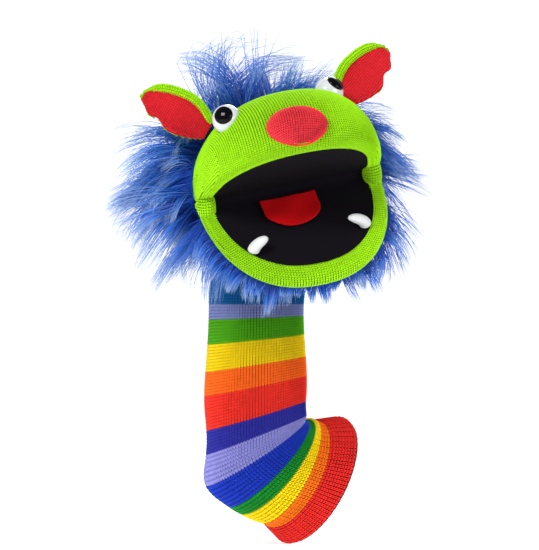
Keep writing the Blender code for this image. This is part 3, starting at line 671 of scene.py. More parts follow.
def surface_place(profile, angle, t):
    """A point of the head's surface in the head's frame, and the direction out of it."""
    def point(a, at):
        y, z, half = smooth_curve(profile, [at])[0]
        across = signed_power(math.sin(math.radians(a)), 2 / FULLNESS)
        out = signed_power(math.cos(math.radians(a)), 2 / FULLNESS)
        return Vector((half * across, y * out, z * out))
    normal = (point(angle + 2, t) - point(angle - 2, t)).cross(
        point(angle, t + 0.2) - point(angle, t - 0.2)).normalized()
    return point(angle, t), normal


# ---------------------------------------------------------------- meshes
def quads(rows, columns, closed=False, start=0):
    """Faces of a grid of points."""
    i = np.arange(rows - 1)[:, None]
    j = np.arange(columns if closed else columns - 1)[None, :]
    k = (j + 1) % columns
    faces = np.stack(np.broadcast_arrays(i * columns + j, i * columns + k,
                                         (i + 1) * columns + k, (i + 1) * columns + j), axis=-1)
    return faces.reshape(-1, 4) + start


def new_object(name, data):
    """An object linked into the scene."""
    obj = bpy.data.objects.new(name, data)
    bpy.context.scene.collection.objects.link(obj)
    return obj


def add_piece(name, mesh, material):
    obj = new_object(name, mesh)
    mesh.materials.clear()
    mesh.materials.append(material)
    mesh.shade_smooth()
    return obj


def closed_mesh(name, points, faces, merge=True):
    """A mesh with its faces turned outwards; merge joins points that lie on each other."""
    mesh = bpy.data.meshes.new(name)
    mesh.from_pydata(np.asarray(points).tolist(), [], [list(f) for f in faces])
    bm = bmesh.new()
    bm.from_mesh(mesh)
    if merge:
        bmesh.ops.remove_doubles(bm, verts=bm.verts, dist=1e-6)
    bmesh.ops.recalc_face_normals(bm, faces=bm.faces)
    bm.to_mesh(mesh)
    bm.free()
    return mesh


def walled_mesh(name, outer, inner, closed=False):
    """A closed body between two grids of points."""
    rows, columns = outer.shape[:2]
    inside = rows * columns
    faces = quads(rows, columns, closed).tolist()
    faces += [f[::-1] for f in quads(rows, columns, closed, inside).tolist()]
    ring = columns if closed else columns - 1
    edges = [(row * columns + j, row * columns + (j + 1) % columns) for row in (0, rows - 1)
             for j in range(ring)]
    if not closed:
        edges += [(i * columns + column, (i + 1) * columns + column) for column in (0, columns - 1)
                  for i in range(rows - 1)]
    faces += [(a, b, b + inside, a + inside) for a, b in edges]
    points = np.concatenate([outer.reshape(-1, 3), inner.reshape(-1, 3)])
    return closed_mesh(name, points, faces, merge=False)


def lay_weave(mesh, rows, columns, wales, first, last):
    """The UV map weave of a walled mesh: wales across, and how far up the piece it is."""
    loops = np.empty(len(mesh.loops), np.int32)
    mesh.loops.foreach_get("vertex_index", loops)
    spot = loops % (rows * columns)
    column, row = (spot % columns).astype(float), spot // columns
    sizes = np.empty(len(mesh.polygons), np.int32)
    mesh.polygons.foreach_get("loop_total", sizes)
    face = np.repeat(np.arange(len(sizes)), sizes)
    highest = np.zeros(len(sizes))
    np.maximum.at(highest, face, column)
    column[(column == 0) & (highest[face] > columns / 2)] = columns
    layer = mesh.uv_layers.new(name="weave")
    uv = np.stack([column * wales / columns, first + (last - first) * row / (rows - 1)], axis=1)
    layer.data.foreach_set("uv", uv.astype(np.float32).reshape(-1))


def shell(name, cloth, first, last, material, wales, sunk=0.0005, wall=WALL, whole=None):
    """The plain knit of one panel: a closed body just under its stitches."""
    rows = round((last - first) * SHELL_ROWS) + 1
    columns = cloth.columns // 2 if cloth.closed else (cloth.columns - 1) // 2 + 1
    u = np.arange(columns, dtype=float) * 2
    v = np.linspace(first, last, rows)
    point, _, _, out = cloth.frame(*np.broadcast_arrays(u[None, :], v[:, None]))
    mesh = walled_mesh(name, point - out * sunk, point - out * (sunk + wall), cloth.closed)
    span = cloth.last if whole is None else whole
    lay_weave(mesh, rows, columns, wales, first / span, last / span)
    return add_piece(name, mesh, material)


def tube_points(path, radii, sides, up=(0.0, 0.0, 1.0)):
    """Rings round a path, as a grid of points."""
    path = np.asarray(path, float)
    ahead = unit(np.gradient(path, axis=0))
    side = unit(np.cross(ahead, np.asarray(up)))
    top = np.cross(side, ahead)
    angle = math.tau * np.arange(sides) / sides
    rings = (np.cos(angle)[None, :, None] * side[:, None] + np.sin(angle)[None, :, None] * top[:, None])
    return path[:, None] + rings * np.asarray(radii)[:, None, None]


def capped_mesh(name, rings):
    """A closed body through rings of points, its two ends drawn to a point."""
    rows, sides = rings.shape[:2]
    ends = np.stack([rings[0].mean(axis=0), rings[-1].mean(axis=0)])
    faces = quads(rows, sides, closed=True).tolist()
    for j in range(sides):
        k = (j + 1) % sides
        faces.append((j, k, rows * sides))
        faces.append(((rows - 1) * sides + j, (rows - 1) * sides + k, rows * sides + 1))
    return closed_mesh(name, np.concatenate([rings.reshape(-1, 3), ends]), faces)


def turned_piece(name, profile, matrix, material, sides=56):
    """A turned body from radius and height, closed on its axis at both ends."""
    angle = math.tau * np.arange(sides) / sides
    rings = np.stack([profile[:, :1] * np.cos(angle), profile[:, :1] * np.sin(angle),
                      np.broadcast_to(profile[:, 1:], (len(profile), sides))], axis=-1)
    return add_piece(name, capped_mesh(name, place_by(matrix, rings)), material)


def ring_mesh(name, path, radius, sides):
    """A closed tube round a closed path."""
    ahead = unit(np.roll(path, -1, axis=0) - np.roll(path, 1, axis=0))
    side = unit(path - path.mean(axis=0))
    top = unit(np.cross(ahead, side))
    angle = math.tau * np.arange(sides) / sides
    radius = np.broadcast_to(radius, len(path))[:, None, None]
    rings = path[:, None] + radius * (np.cos(angle)[None, :, None] * side[:, None]
                                      + np.sin(angle)[None, :, None] * top[:, None])
    faces = quads(len(path) + 1, sides, closed=True) % (len(path) * sides)
    return closed_mesh(name, rings.reshape(-1, 3), faces.tolist())


def lay_rings(mesh, sides, ring_step, side_step):
    """The UV map weave on a body made of rings: wales and height for each ring and each side."""
    layer = mesh.uv_layers.new(name="weave")
    for loop in mesh.loops:
        ring, side = divmod(loop.vertex_index, sides)
        layer.data[loop.index].uv = (ring * ring_step[0] + side * side_step[0],
                                     ring * ring_step[1] + side * side_step[1])


# ---------------------------------------------------------------- stitches and strands as nodes
def add_input(tree, name, kind, default=None):
    item = tree.nodes.interface.new_socket(name, in_out="INPUT", socket_type=kind)
    if default is not None:
        item.default_value = default
    return item


def new_tree(name, sizes):
    """A geometry tree with a geometry, named sizes and a material as its inputs."""
    tree = Tree(bpy.data.node_groups.new(name, "GeometryNodeTree"))
    tree.nodes.is_modifier = True
    tree.nodes.interface.new_socket("Geometry", in_out="OUTPUT", socket_type="NodeSocketGeometry")
    add_input(tree, "Geometry", "NodeSocketGeometry")
    for label, value in sizes.items():
        add_input(tree, label, "NodeSocketFloat", value)
    add_input(tree, "Material", "NodeSocketMaterial")
    entry = tree.nodes.nodes.new("NodeGroupInput")
    inputs = {socket.name: Wire(tree, socket) for socket in entry.outputs if socket.name}
    return tree, inputs


def named(tree, name, kind="FLOAT"):
    return tree.add("GeometryNodeInputNamedAttribute", {"data_type": kind}, {"Name": name})


def store(tree, geometry, name, value, kind="FLOAT", domain="POINT"):
    settings = {"data_type": kind, "domain": domain}
    return tree.add("GeometryNodeStoreNamedAttribute", settings,
                    {"Geometry": geometry, "Name": name, "Value": value})


def finish_tree(tree, geometry, shade, row, material):
    """Shade map, realized instances and material at the end of a tree."""
    real = tree.add("GeometryNodeRealizeInstances", {}, {"Geometry": geometry})
    smooth = tree.add("GeometryNodeSetShadeSmooth", {}, {"Geometry": real})
    spot = tree.add("ShaderNodeCombineXYZ", {}, {"X": shade, "Y": row})
    mapped = store(tree, smooth, YARN_MAP, spot, "FLOAT2", "CORNER")
    made = tree.add("GeometryNodeSetMaterial", {}, {"Geometry": mapped, "Material": material})
    end = tree.nodes.nodes.new("NodeGroupOutput")
    tree.nodes.links.new(made.socket, end.inputs[0])
    return tree.nodes


def stitch_tree():
    """One V of two plump legs on every point of a chart of stitches."""
    tree, inputs = new_tree("knit_stitches", {"Yarn": 0.20, "Spread": 0.24})
    profile = tree.add("GeometryNodeCurvePrimitiveCircle", {}, {"Resolution": 3, "Radius": inputs["Yarn"]})
    legs = []
    # each leg starts under the stitch below, rises to its knee and dives under the one above
    for side in (-1.0, 1.0):
        foot = tree.add("ShaderNodeCombineXYZ", {}, {"X": 0.07 * side, "Y": -0.64, "Z": -0.22})
        knee = tree.add("ShaderNodeCombineXYZ", {}, {"X": inputs["Spread"] * side, "Y": 0.0, "Z": 0.62})
        head = tree.add("ShaderNodeCombineXYZ", {}, {"X": 0.31 * side, "Y": 0.64, "Z": -0.22})
        line = tree.add("GeometryNodeCurveQuadraticBezier", {},
                        {"Resolution": 2, "Start": foot, "Middle": knee, "End": head})
        factor = tree.add("GeometryNodeSplineParameter", {}, {})
        marked = store(tree, line, "leg", factor)
        swell = factor * (1.0 - factor) * 3.0 + 0.35
        legs.append(tree.add("GeometryNodeCurveToMesh", {},
                             {"Curve": marked, "Profile Curve": profile, "Scale": swell,
                              "Fill Caps": True}))
    joined = tree.nodes.nodes.new("GeometryNodeJoinGeometry")
    for leg in legs:
        tree.nodes.links.new(leg.socket, joined.inputs[0])
    turn = tree.add("FunctionNodeAxesToRotation", {"primary_axis": "Z", "secondary_axis": "Y"},
                    {"Primary Axis": named(tree, "out", "FLOAT_VECTOR"),
                     "Secondary Axis": named(tree, "along", "FLOAT_VECTOR")})
    points = tree.add("GeometryNodeMeshToPoints", {}, {"Mesh": inputs["Geometry"]})
    placed = tree.add("GeometryNodeInstanceOnPoints", {},
                      {"Points": points, "Instance": Wire(tree, joined.outputs[0]),
                       "Rotation": turn, "Scale": named(tree, "gauge", "FLOAT_VECTOR")})
    # the stitch's tint and the place along its leg, where the yarn material paints shade towards the ends
    shade = (named(tree, "tint") + named(tree, "leg") * 0.98 + 0.01) * (1.0 / SHADE_LEVELS)
    return finish_tree(tree, placed, shade, named(tree, "row"), inputs["Material"])


def strand_tree():
    """A tapered strand along every line of a chart of hairs."""
    tree, inputs = new_tree("pile_strands", {"Girth": 0.0004})
    lines = tree.add("GeometryNodeMeshToCurve", {}, {"Mesh": inputs["Geometry"]})
    profile = tree.add("GeometryNodeCurvePrimitiveCircle", {}, {"Resolution": 3, "Radius": inputs["Girth"]})
    swept = tree.add("GeometryNodeCurveToMesh", {},
                     {"Curve": lines, "Profile Curve": profile, "Scale": named(tree, "taper"),
                      "Fill Caps": True})
    return finish_tree(tree, swept, named(tree, "along"), named(tree, "strand"), inputs["Material"])


def grow_nodes(name, chart, tree, sizes, material):
    """Run a geometry tree on a chart and keep what it makes as a plain mesh."""
    guide = new_object(name + "_chart", chart)
    modifier = guide.modifiers.new("grow", "NODES")
    modifier.node_group = tree
    values = {**sizes, "Material": material}
    for item in tree.interface.items_tree:
        if item.in_out == "INPUT" and item.name in values:
            modifier[item.identifier] = values[item.name]
    graph = bpy.context.evaluated_depsgraph_get()
    mesh = bpy.data.meshes.new_from_object(guide.evaluated_get(graph), depsgraph=graph)
    bpy.data.objects.remove(guide, do_unlink=True)
    bpy.data.meshes.remove(chart)
    for attribute in ("leg", "out", "along", "gauge", "tint", "row", "taper", "strand"):
        if attribute in mesh.attributes:
            mesh.attributes.remove(mesh.attributes[attribute])
    if not mesh.polygons:
        raise RuntimeError(f"{name} came out empty")
    mesh.name = name
    return new_object(name, mesh)


def write_attribute(mesh, name, kind, values):
    attribute = mesh.attributes.new(name, kind, "POINT")
    field = "vector" if kind == "FLOAT_VECTOR" else "value"
    attribute.data.foreach_set(field, np.asarray(values, np.float32).reshape(-1))


def stitches(name, points, along, out, wide, tall, rows, material, seed):
    """A piece of knitting: one stitch on every given point."""
    knit = bpy.context.scene.puppet_knit
    chance = np.random.default_rng(seed)
    chart = bpy.data.meshes.new(name + "_chart")
    chart.from_pydata(np.asarray(points).tolist(), [], [])
    count = len(points)
    sway = chance.normal(0.0, 0.05, (count, 1))
    across = np.cross(out, along)
    gauge = np.stack([wide * 1.02, tall, (wide + tall) / 2], axis=1)
    write_attribute(chart, "along", "FLOAT_VECTOR", unit(along + across * sway))
    write_attribute(chart, "out", "FLOAT_VECTOR", out)
    write_attribute(chart, "gauge", "FLOAT_VECTOR", gauge * chance.normal(1.0, 0.03, (count, 1)))
    write_attribute(chart, "tint", "FLOAT", chance.integers(0, SHADE_LEVELS, count))
    write_attribute(chart, "row", "FLOAT", rows)
    return grow_nodes(name, chart, TREES["stitch"], {"Yarn": knit.plumpness}, material)


def panel_stitches(name, cloth, first, last, material, seed, keep=None, lift=0.0):
    """Stitches over a panel of the head; keep says which sites stay."""
    knit = bpy.context.scene.puppet_knit
    u, v, wide, tall, _ = cloth.panel_sites(first, last, knit.wale, knit.course)
    point, _, along, out = cloth.frame(u, v)
    if keep is not None:
        stay = keep(point)
        point, along, out, wide, tall, v = (a[stay] for a in (point, along, out, wide, tall, v))
    return stitches(name, point + out * lift, along, out, wide, tall, v / cloth.last, material, seed)


TREES = {}


# ---------------------------------------------------------------- sleeve
def make_sleeve():
    knit = bpy.context.scene.puppet_knit
    yarn = yarn_material("striped_yarn")
    # painted shade: the striped knit under the stitches and inside the sleeve is darkened by its material
    lining = cloth_material("striped_knit")
    cloth = sleeve_cloth()
    for number, (name, (first, last, low, high, start, end, nodes)) in enumerate(LENGTHS.items()):
        under = shell(name + "_cloth", cloth, first, last, lining, SLEEVE_WALES, whole=SLEEVE_ENDS)
        u, v, wide, tall, wale = cloth.tube_sites(first, last, SLEEVE_WALES, knit.sleeve_course)
        point, _, along, out = cloth.frame(u, v)
        ribbed = np.clip(RIBS_TOP - v, 0, 1)
        raised = np.where(wale % 2 == 0, 0.5, -0.5) * ribbed * knit.rib_depth
        cuff = np.clip((CUFF_TOP - v) * 9 + 0.5, 0, 1) * 0.0010
        point = point + out * (raised + cuff + 0.0002)[:, None]
        loops = stitches(name + "_stitches", point, along, out, wide, tall, v / SLEEVE_ENDS, yarn,
                         seed=20 + number)
        for piece in (under, loops):
            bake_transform(piece)
        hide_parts(*nodes)
    make_inner_rib(cloth, yarn)


def make_inner_rib(cloth, yarn):
    """The turned-in side of the doubled cuff, which shows in the arm opening."""
    knit = bpy.context.scene.puppet_knit
    u, v, wide, tall, wale = cloth.tube_sites(0.0, 1.2, SLEEVE_WALES, knit.sleeve_course)
    point, _, along, out = cloth.frame(u, v)
    raised = np.where(wale % 2 == 0, 0.5, -0.5) * knit.rib_depth
    inside = point - out * (WALL + 0.0007 - raised)[:, None]
    loops = stitches("cuff_inside_stitches", inside, along, -out, wide * 0.96, tall,
                     np.minimum(v / SLEEVE_ENDS, 0.06), yarn, seed=31)
    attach(loops, "cuff")
    rim_u = np.arange(SLEEVE_WALES) * cloth.columns / SLEEVE_WALES
    rim, _, _, out = cloth.frame(rim_u, np.zeros(SLEEVE_WALES))
    path = rim - out * (WALL / 2 + 0.0004)
    bulge = 0.0019 + 0.00025 * (np.arange(len(path)) % 2)
    mesh = ring_mesh("cuff_fold", path, bulge, 10)
    lay_rings(mesh, 10, (0.5, 0.0), (0.0, 0.004))
    fold = add_piece("cuff_fold", mesh, bpy.data.materials["striped_knit"])
    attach(fold, "cuff")


# ---------------------------------------------------------------- head
def cheek_mesh(name, sign):
    """The rounded corner of the mouth: a wedge swept round the fold from palate to jaw."""
    outline = [(0.0640, 0.0006), (0.0645, 0.0078), (0.0664, 0.0126), (0.0704, 0.0148),
               (0.0748, 0.0134), (0.0781, 0.0086), (0.0790, 0.0006)]
    profile = smooth_curve(outline, np.linspace(0, len(outline) - 1, 25))
    sweep = np.radians(np.linspace(16.0, -JAW_OPEN - 16.0, 33))
    rings = np.stack([
        np.broadcast_to(sign * profile[None, :, 0], (len(sweep), len(profile))),
        -profile[None, :, 1] * np.cos(sweep)[:, None],
        profile[None, :, 1] * np.sin(sweep)[:, None]], axis=-1)
    return rings, capped_mesh(name, place_by(HEAD, rings))


def make_head():
    colours = bpy.context.scene.puppet_colours
    yarn = yarn_material("lime_yarn", colours.lime)
    # painted shade: the plain knit under the stitches is a darker lime, for the shade between them
    plain = cloth_material("lime_knit", darker(colours.lime, 0.45), courses=60.0)
    face, chin, throat = head_cloth(FACE, HEAD), head_cloth(CHIN, JAW), throat_cloth()
    nose_place = HEAD @ surface_place(FACE, *NOSE_AT)[0]

    def clear_of_nose(points):
        return np.linalg.norm(points - np.array(nose_place), axis=1) > NOSE[1] * 0.75

    for name, cloth, body, keep, seed in (("face", face, "head", clear_of_nose, 40),
                                          ("chin", chin, "jaw", None, 41)):
        under = shell(name + "_cloth", cloth, 0.0, 9.0, plain, HEAD_WALES)
        loops = panel_stitches(name + "_stitches", cloth, 0.0, 9.0, yarn, seed, keep)
        for piece in (under, loops):
            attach(piece, body)
        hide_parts(name + "_knit")
    under = shell("throat_cloth", throat, 0.0, 3.0, plain, HEAD_WALES, wall=0.0012)
    loops = panel_stitches("throat_stitches", throat, 0.0, 3.0, yarn, 42)
    top, low = throat.at(ACROSS / 2, 0.1), throat.at(ACROSS / 2, 2.9)
    for piece in (under, loops):
        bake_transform(piece)
    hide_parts("throat_gusset")
    for side, sign in (("left", -1), ("right", 1)):
        rings, mesh = cheek_mesh(side + "_cheek_cloth", sign)
        lay_rings(mesh, rings.shape[1], (0.5, 0.0), (0.0, 0.02))
        under = add_piece(side + "_cheek_cloth", mesh, plain)
        cloth = Cloth(place_by(HEAD, rings.transpose(1, 0, 2)), fine=2)
        loops = panel_stitches(side + "_cheek_stitches", cloth, 1.0, 23.0, yarn, 43, lift=0.0003)
        for piece in (under, loops):
            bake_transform(piece)
        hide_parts(side + "_cheek_gusset")


# ---------------------------------------------------------------- mouth
def plate_half(depth, half, length):
    return half * (1 - min(depth / length, 0.998) ** FULLNESS) ** (1 / FULLNESS)


def lining_rows():
    """The felt of the mouth in one cut: palate, fold and jaw, as rows from side to side."""
    across = np.linspace(-1, 1, 61)
    half, length = LINING
    depths = np.concatenate([length * (1 - np.linspace(0.02, 0.93, 30) ** 2), [0.0095]])
    rows = []
    for matrix, side, order in ((HEAD, 1, depths), (JAW, -1, depths[::-1])):
        for depth in order:
            width = plate_half(depth, half, length)
            dish = 0.0006 - 0.0010 * (depth / length) * (1 - across ** 2)
            row = np.stack([across * width, np.full_like(across, -depth), side * dish], axis=-1)
            rows.append(place_by(matrix, row))
        if side == 1:
            radius = 0.0042
            away = radius / math.sin(math.radians(JAW_OPEN / 2))
            middle = math.radians(-JAW_OPEN / 2)
            for angle in np.radians(np.linspace(80.0, JAW_OPEN - 80.0, 9)):
                y = -away * math.cos(middle) + radius * math.cos(angle)
                z = away * math.sin(middle) + radius * math.sin(angle)
                row = np.stack([across * 0.0660, np.full_like(across, y), np.full_like(across, z)], axis=-1)
                rows.append(place_by(HEAD, row))
    return np.array(rows)


def make_mouth():
    colours = bpy.context.scene.puppet_colours
    felt = felt_material("mouth_felt", colours.lining)
    grid = lining_rows()
    step_across, step_along = np.gradient(grid, axis=1), np.gradient(grid, axis=0)
    out = unit(np.cross(step_across, step_along))
    if out[5, 30] @ np.array(HEAD.to_3x3() @ Vector((0, 0, -1))) > 0:
        out = -out
    lining = add_piece("mouth_lining", walled_mesh("mouth_lining", grid, grid + out * 0.0008), felt)
    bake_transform(lining)
    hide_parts("palate_lining", "jaw_lining", "mouth_fold")
    make_pockets(felt)
    make_tongue(felt_material("tongue_felt", colours.tongue, fuzz=0.5))
    make_teeth(felt_material("tooth_felt", (0.52, 0.52, 0.53), 0.6, 0.15))
    board = board_material()
    for node in ("palate_board", "jaw_board"):
        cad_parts[node].data.materials.clear()
        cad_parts[node].data.materials.append(board)


def make_pockets(felt):
    """Cloth pockets for the fingers over the palate and for the thumb under the jaw."""
    pockets = {
        "finger_pocket": (HEAD, "head", 0.0500, -0.0750, -0.0060, 0.0045, 0.0270, "palate_board"),
        "thumb_pocket": (JAW, "jaw", 0.0170, -0.0670, -0.0060, -0.0235, -0.0045, "jaw_board"),
    }
    angle = math.tau * np.arange(48) / 48
    for name, (matrix, body, half, front, back, low, high, board) in pockets.items():
        rows = []
        for t in np.linspace(0.0, 0.985, 24):
            size, flat = (1 - t ** 2.6) ** 0.5, (1 - t ** 4) ** 0.5
            ripple = 1 + 0.012 * np.sin(angle * 5 + t * 9) * (1 - t)
            x = half * size * signed_power(np.cos(angle), 0.75) * ripple
            z = (low + high) / 2 + (high - low) / 2 * flat * signed_power(np.sin(angle), 0.75) * ripple
            rows.append(np.stack([x, np.full_like(x, back + (front - back) * t), z], axis=-1))
        outer = np.array(rows)
        centre = outer.mean(axis=1, keepdims=True)
        inner = outer - unit(outer - centre) * 0.0011
        inner[-1] = inner[-2] * 0.2 + inner[-1] * 0.8
        mesh = walled_mesh(name + "_cloth", place_by(matrix, outer), place_by(matrix, inner), closed=True)
        piece = add_piece(name + "_cloth", mesh, felt)
        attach(piece, body)
        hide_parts(name)
        (back - front) * 1.02


def make_tongue(felt):
    """A felt flap, square at its root and round at its tip, that curls a little at the edges."""
    half, length, straight = TONGUE
    across = np.linspace(-1, 1, 41)
    rows = []
    for depth in np.concatenate([np.linspace(0, straight, 12), straight + (length - straight)
                                 * np.sin(np.linspace(0.08, math.pi / 2, 26))]):
        past = max(0.0, (depth - straight) / (length - straight))
        width = half * math.sqrt(max(1 - past ** 2, 0.0009))
        share = depth / length
        beside = across * width / half
        curl = 0.0016 * beside ** 2 * share + 0.0012 * share ** 2
        corner = 0.0018 * np.clip(across - 0.55, 0, 1) * max(0.0, 1 - depth / 0.012) * 2
        ripple = 0.0004 * np.sin(beside * 4 + depth * 180)
        height = curl + corner + ripple
        rows.append(np.stack([across * width, np.full_like(across, -depth), height], axis=-1))
    top = np.array(rows) + np.array((0.0, 0.0, 0.0006))
    matrix = JAW @ Matrix.Translation(TONGUE_ROOT)
    bottom = top - np.array((0.0, 0.0, 0.0014))
    mesh = walled_mesh("tongue_flap", place_by(matrix, top), place_by(matrix, bottom))
    piece = add_piece("tongue_flap", mesh, felt)
    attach(piece, "tongue")
    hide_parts("tongue")


def make_teeth(felt):
    """Blunt stuffed horns that lean inward from the lip."""
    for side, (x, y, reach) in TEETH.items():
        t = np.linspace(0, 1, 25)
        inward = reach * t ** 1.4
        height = 0.0016 + 0.0094 * (1 - (1 - t) ** 1.7)
        path = np.stack([x - math.copysign(1.0, x) * inward, y + 0.0015 * t, height], axis=1)
        radius = 0.0050 * np.sqrt(np.clip(1 - t ** 5, 0.003, 1)) * (1 - 0.24 * t)
        rings = place_by(JAW, tube_points(path, radius, 28, up=(0.0, 1.0, 0.0)))
        piece = add_piece(side + "_horn", capped_mesh(side + "_horn", rings), felt)
        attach(piece, "jaw")
        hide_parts(side + "_tooth")


# ---------------------------------------------------------------- nose, eyes and ears
def flat_sites(inside, height, box, wale, course):
    """Stitch sites over a shaped panel: points and the directions along and out of it."""
    (left, low), (right, high) = box
    x, y = np.meshgrid(np.arange(left, right, wale), np.arange(low, high, course))
    x, y = x.reshape(-1), y.reshape(-1)
    stay = inside(x, y)
    x, y = x[stay], y[stay]
    step = 0.0004
    rise_x = (height(x + step, y) - height(x - step, y)) / (2 * step)
    rise_y = (height(x, y + step) - height(x, y - step)) / (2 * step)
    rise_x, rise_y = np.clip(rise_x, -1.6, 1.6), np.clip(rise_y, -1.6, 1.6)
    along = unit(np.stack([np.zeros_like(x), np.ones_like(x), rise_y], axis=1))
    across = unit(np.stack([np.ones_like(x), np.zeros_like(x), rise_x], axis=1))
    out = unit(np.cross(across, along))
    wide = wale * np.sqrt(1 + rise_x ** 2)
    tall = course * np.sqrt(1 + rise_y ** 2)
    return np.stack([x, y, height(x, y)], axis=1), along, out, wide, tall


def turned_by(matrix, vectors):
    return vectors @ np.array(matrix.to_3x3()).T


def nose_grid(latitudes, longitudes, scale=1.0):
    """An egg lying across the face, bent to follow it."""
    half_x, half_y, depth = NOSE
    up, round_ = np.radians(latitudes)[:, None], np.radians(longitudes)[None, :]
    x = half_x * scale * np.cos(up) * np.sin(round_)
    y = half_y * scale * np.sin(up) * np.ones_like(round_)
    ahead = np.cos(up) * np.cos(round_)
    z = np.where(ahead > 0, depth, 0.0070) * scale * ahead
    return np.stack([x, y, z - nose_bend(x, y)], axis=-1)


def nose_bend(x, y):
    return 0.0030 * (x / NOSE[0]) ** 2 + 0.0035 * (y / NOSE[1]) ** 2


def nose_rings(size):
    """Rings of a closed body in the nose's shape."""
    return nose_grid(np.linspace(-88, 88, 40), np.arange(0, 360, 5.0), size)


def nose_matrix():
    """The nose's own frame: x runs across it, z points away from the face."""
    place, normal = surface_place(FACE, *NOSE_AT)
    turn = normal.to_track_quat("Z", "Y").to_matrix().to_4x4()
    return (HEAD @ Matrix.Translation(place + normal * 0.001) @ turn
            @ Matrix.Rotation(math.radians(NOSE_TILT), 4, "Z"))


def make_nose():
    colours, knit = bpy.context.scene.puppet_colours, bpy.context.scene.puppet_knit
    matrix = nose_matrix()
    # painted shade: the knit under the nose's stitches is a darker red, for the shade between them
    plain = cloth_material("nose_knit", darker(colours.nose_red, 0.4))
    rings = place_by(matrix, nose_rings(0.97))
    mesh = capped_mesh("nose_cloth", rings)
    lay_rings(mesh, rings.shape[1], (0.0, 0.02), (0.5, 0.0))
    cover = add_piece("nose_cloth", mesh, plain)
    cloth = Cloth(place_by(matrix, nose_grid(np.linspace(-86, 86, 15), np.linspace(-128, 128, 129))))
    u, v, wide, tall, _ = cloth.panel_sites(0.05, 13.95, knit.wale * 0.88, knit.course * 0.95)
    point, _, along, out = cloth.frame(u, v)
    loops = stitches("nose_stitches", point, along, out, wide, tall, v / cloth.last,
                     yarn_material("nose_yarn", colours.nose_red), seed=51)
    face = head_cloth(FACE, HEAD).grid
    skin = BVHTree.FromPolygons(face.reshape(-1, 3).tolist(), quads(*face.shape[:2]).tolist())
    angle = math.tau * np.arange(96) / 96
    above = np.stack([NOSE[0] * np.cos(angle), NOSE[1] * 1.01 * np.sin(angle), np.full(96, 0.03)], axis=1)
    inward = matrix.to_3x3() @ Vector((0, 0, -1))
    met = [skin.ray_cast(Vector(start), inward, 0.08)[0] for start in place_by(matrix, above)]
    path = np.array([spot - inward * 0.0006 for spot in met])
    cord = add_piece("nose_seam", ring_mesh("nose_seam", path, 0.0008, 8),
                     felt_material("nose_seam_yarn", linear(226, 52, 40)))
    for piece in (cover, loops, cord):
        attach(piece, "head")
    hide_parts("nose_cover")


def eye_profile(radius, low, top):
    rise = np.radians(np.linspace(low, top, 30))
    return np.stack([radius * np.cos(rise), radius * EYE_FLAT * np.sin(rise)], axis=1)


def make_eyes():
    white = moulded_material("eye_white_plastic", (0.54, 0.55, 0.58), 0.10, 0.4)
    black = moulded_material("pupil_plastic", (0.001, 0.001, 0.002), 0.03, gloss=0.12)
    washer = moulded_material("washer_plastic", (0.80, 0.80, 0.77), 0.35)
    for side, ((angle, t), look) in EYES.items():
        place, normal = surface_place(FACE, angle, t)
        turn = Vector(look).normalized().to_track_quat("Z", "Y").to_matrix().to_4x4()
        matrix = HEAD @ Matrix.Translation(place + normal * 0.0016) @ turn
        seat = EYE_HALF * EYE_FLAT * math.sin(math.radians(EYE_CUT))
        dome = eye_profile(EYE_HALF, -62, EYE_CUT)
        lip = [(dome[-1][0] - 0.0002, seat + 0.0001), (dome[-1][0] - 0.0005, seat - 0.0002)]
        ball = turned_piece(side + "_eye_dome", np.concatenate([dome, lip]), matrix, white)
        rise = np.radians(np.linspace(0, 86, 14))
        cap = np.stack([PUPIL_HALF * 0.93 * np.cos(rise), seat + 0.0004 + 0.0038 * np.sin(rise)], axis=1)
        foot = [(PUPIL_HALF * 0.90, seat + 0.0001)]
        disc = turned_piece(side + "_eye_pupil", np.concatenate([foot, cap]), matrix, black)
        for piece, node, slot in ((ball, "_eye_white", "eye_white"), (disc, "_pupil", "eye_black")):
            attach(piece, "head")
            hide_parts(side + node)
        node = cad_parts[side + "_eye_washer"]
        node.data.materials.clear()
        node.data.materials.append(washer)


def ear_matrix(side):
    """The ear's own frame: y runs to its tip, z faces forward."""
    (angle, t), rise, sign = EARS[side]
    place, normal = surface_place(FACE, angle, t)
    out = Vector((sign * math.cos(math.radians(rise)), 0.0, math.sin(math.radians(rise))))
    front = Vector((0, -1, 0))
    turn = Matrix((out.cross(front), out, front)).transposed().to_4x4()
    return HEAD @ Matrix.Translation(place + normal * EAR_REACH) @ turn


def ear_edges(sign):
    """The rolled and the scalloped edge from root to tip, as functions of the height."""
    rolled = smooth_curve(EAR_ROLLED, np.linspace(0, len(EAR_ROLLED) - 1, 61))
    loose = EAR_SCALLOPED[::-1]
    scalloped = smooth_curve(loose, np.linspace(0, len(loose) - 1, 61))
    return (lambda y: sign * np.interp(y, rolled[:, 1], rolled[:, 0]),
            lambda y: sign * np.interp(y, scalloped[:, 1], scalloped[:, 0]))


def ear_cup(x, y):
    """How far the ear's middle is hollowed out."""
    return 0.0030 * (x / 0.016) ** 2 * np.clip(y / 0.02, 0, 1) - 0.0010 * np.clip(1 - y / 0.03, 0, 1)


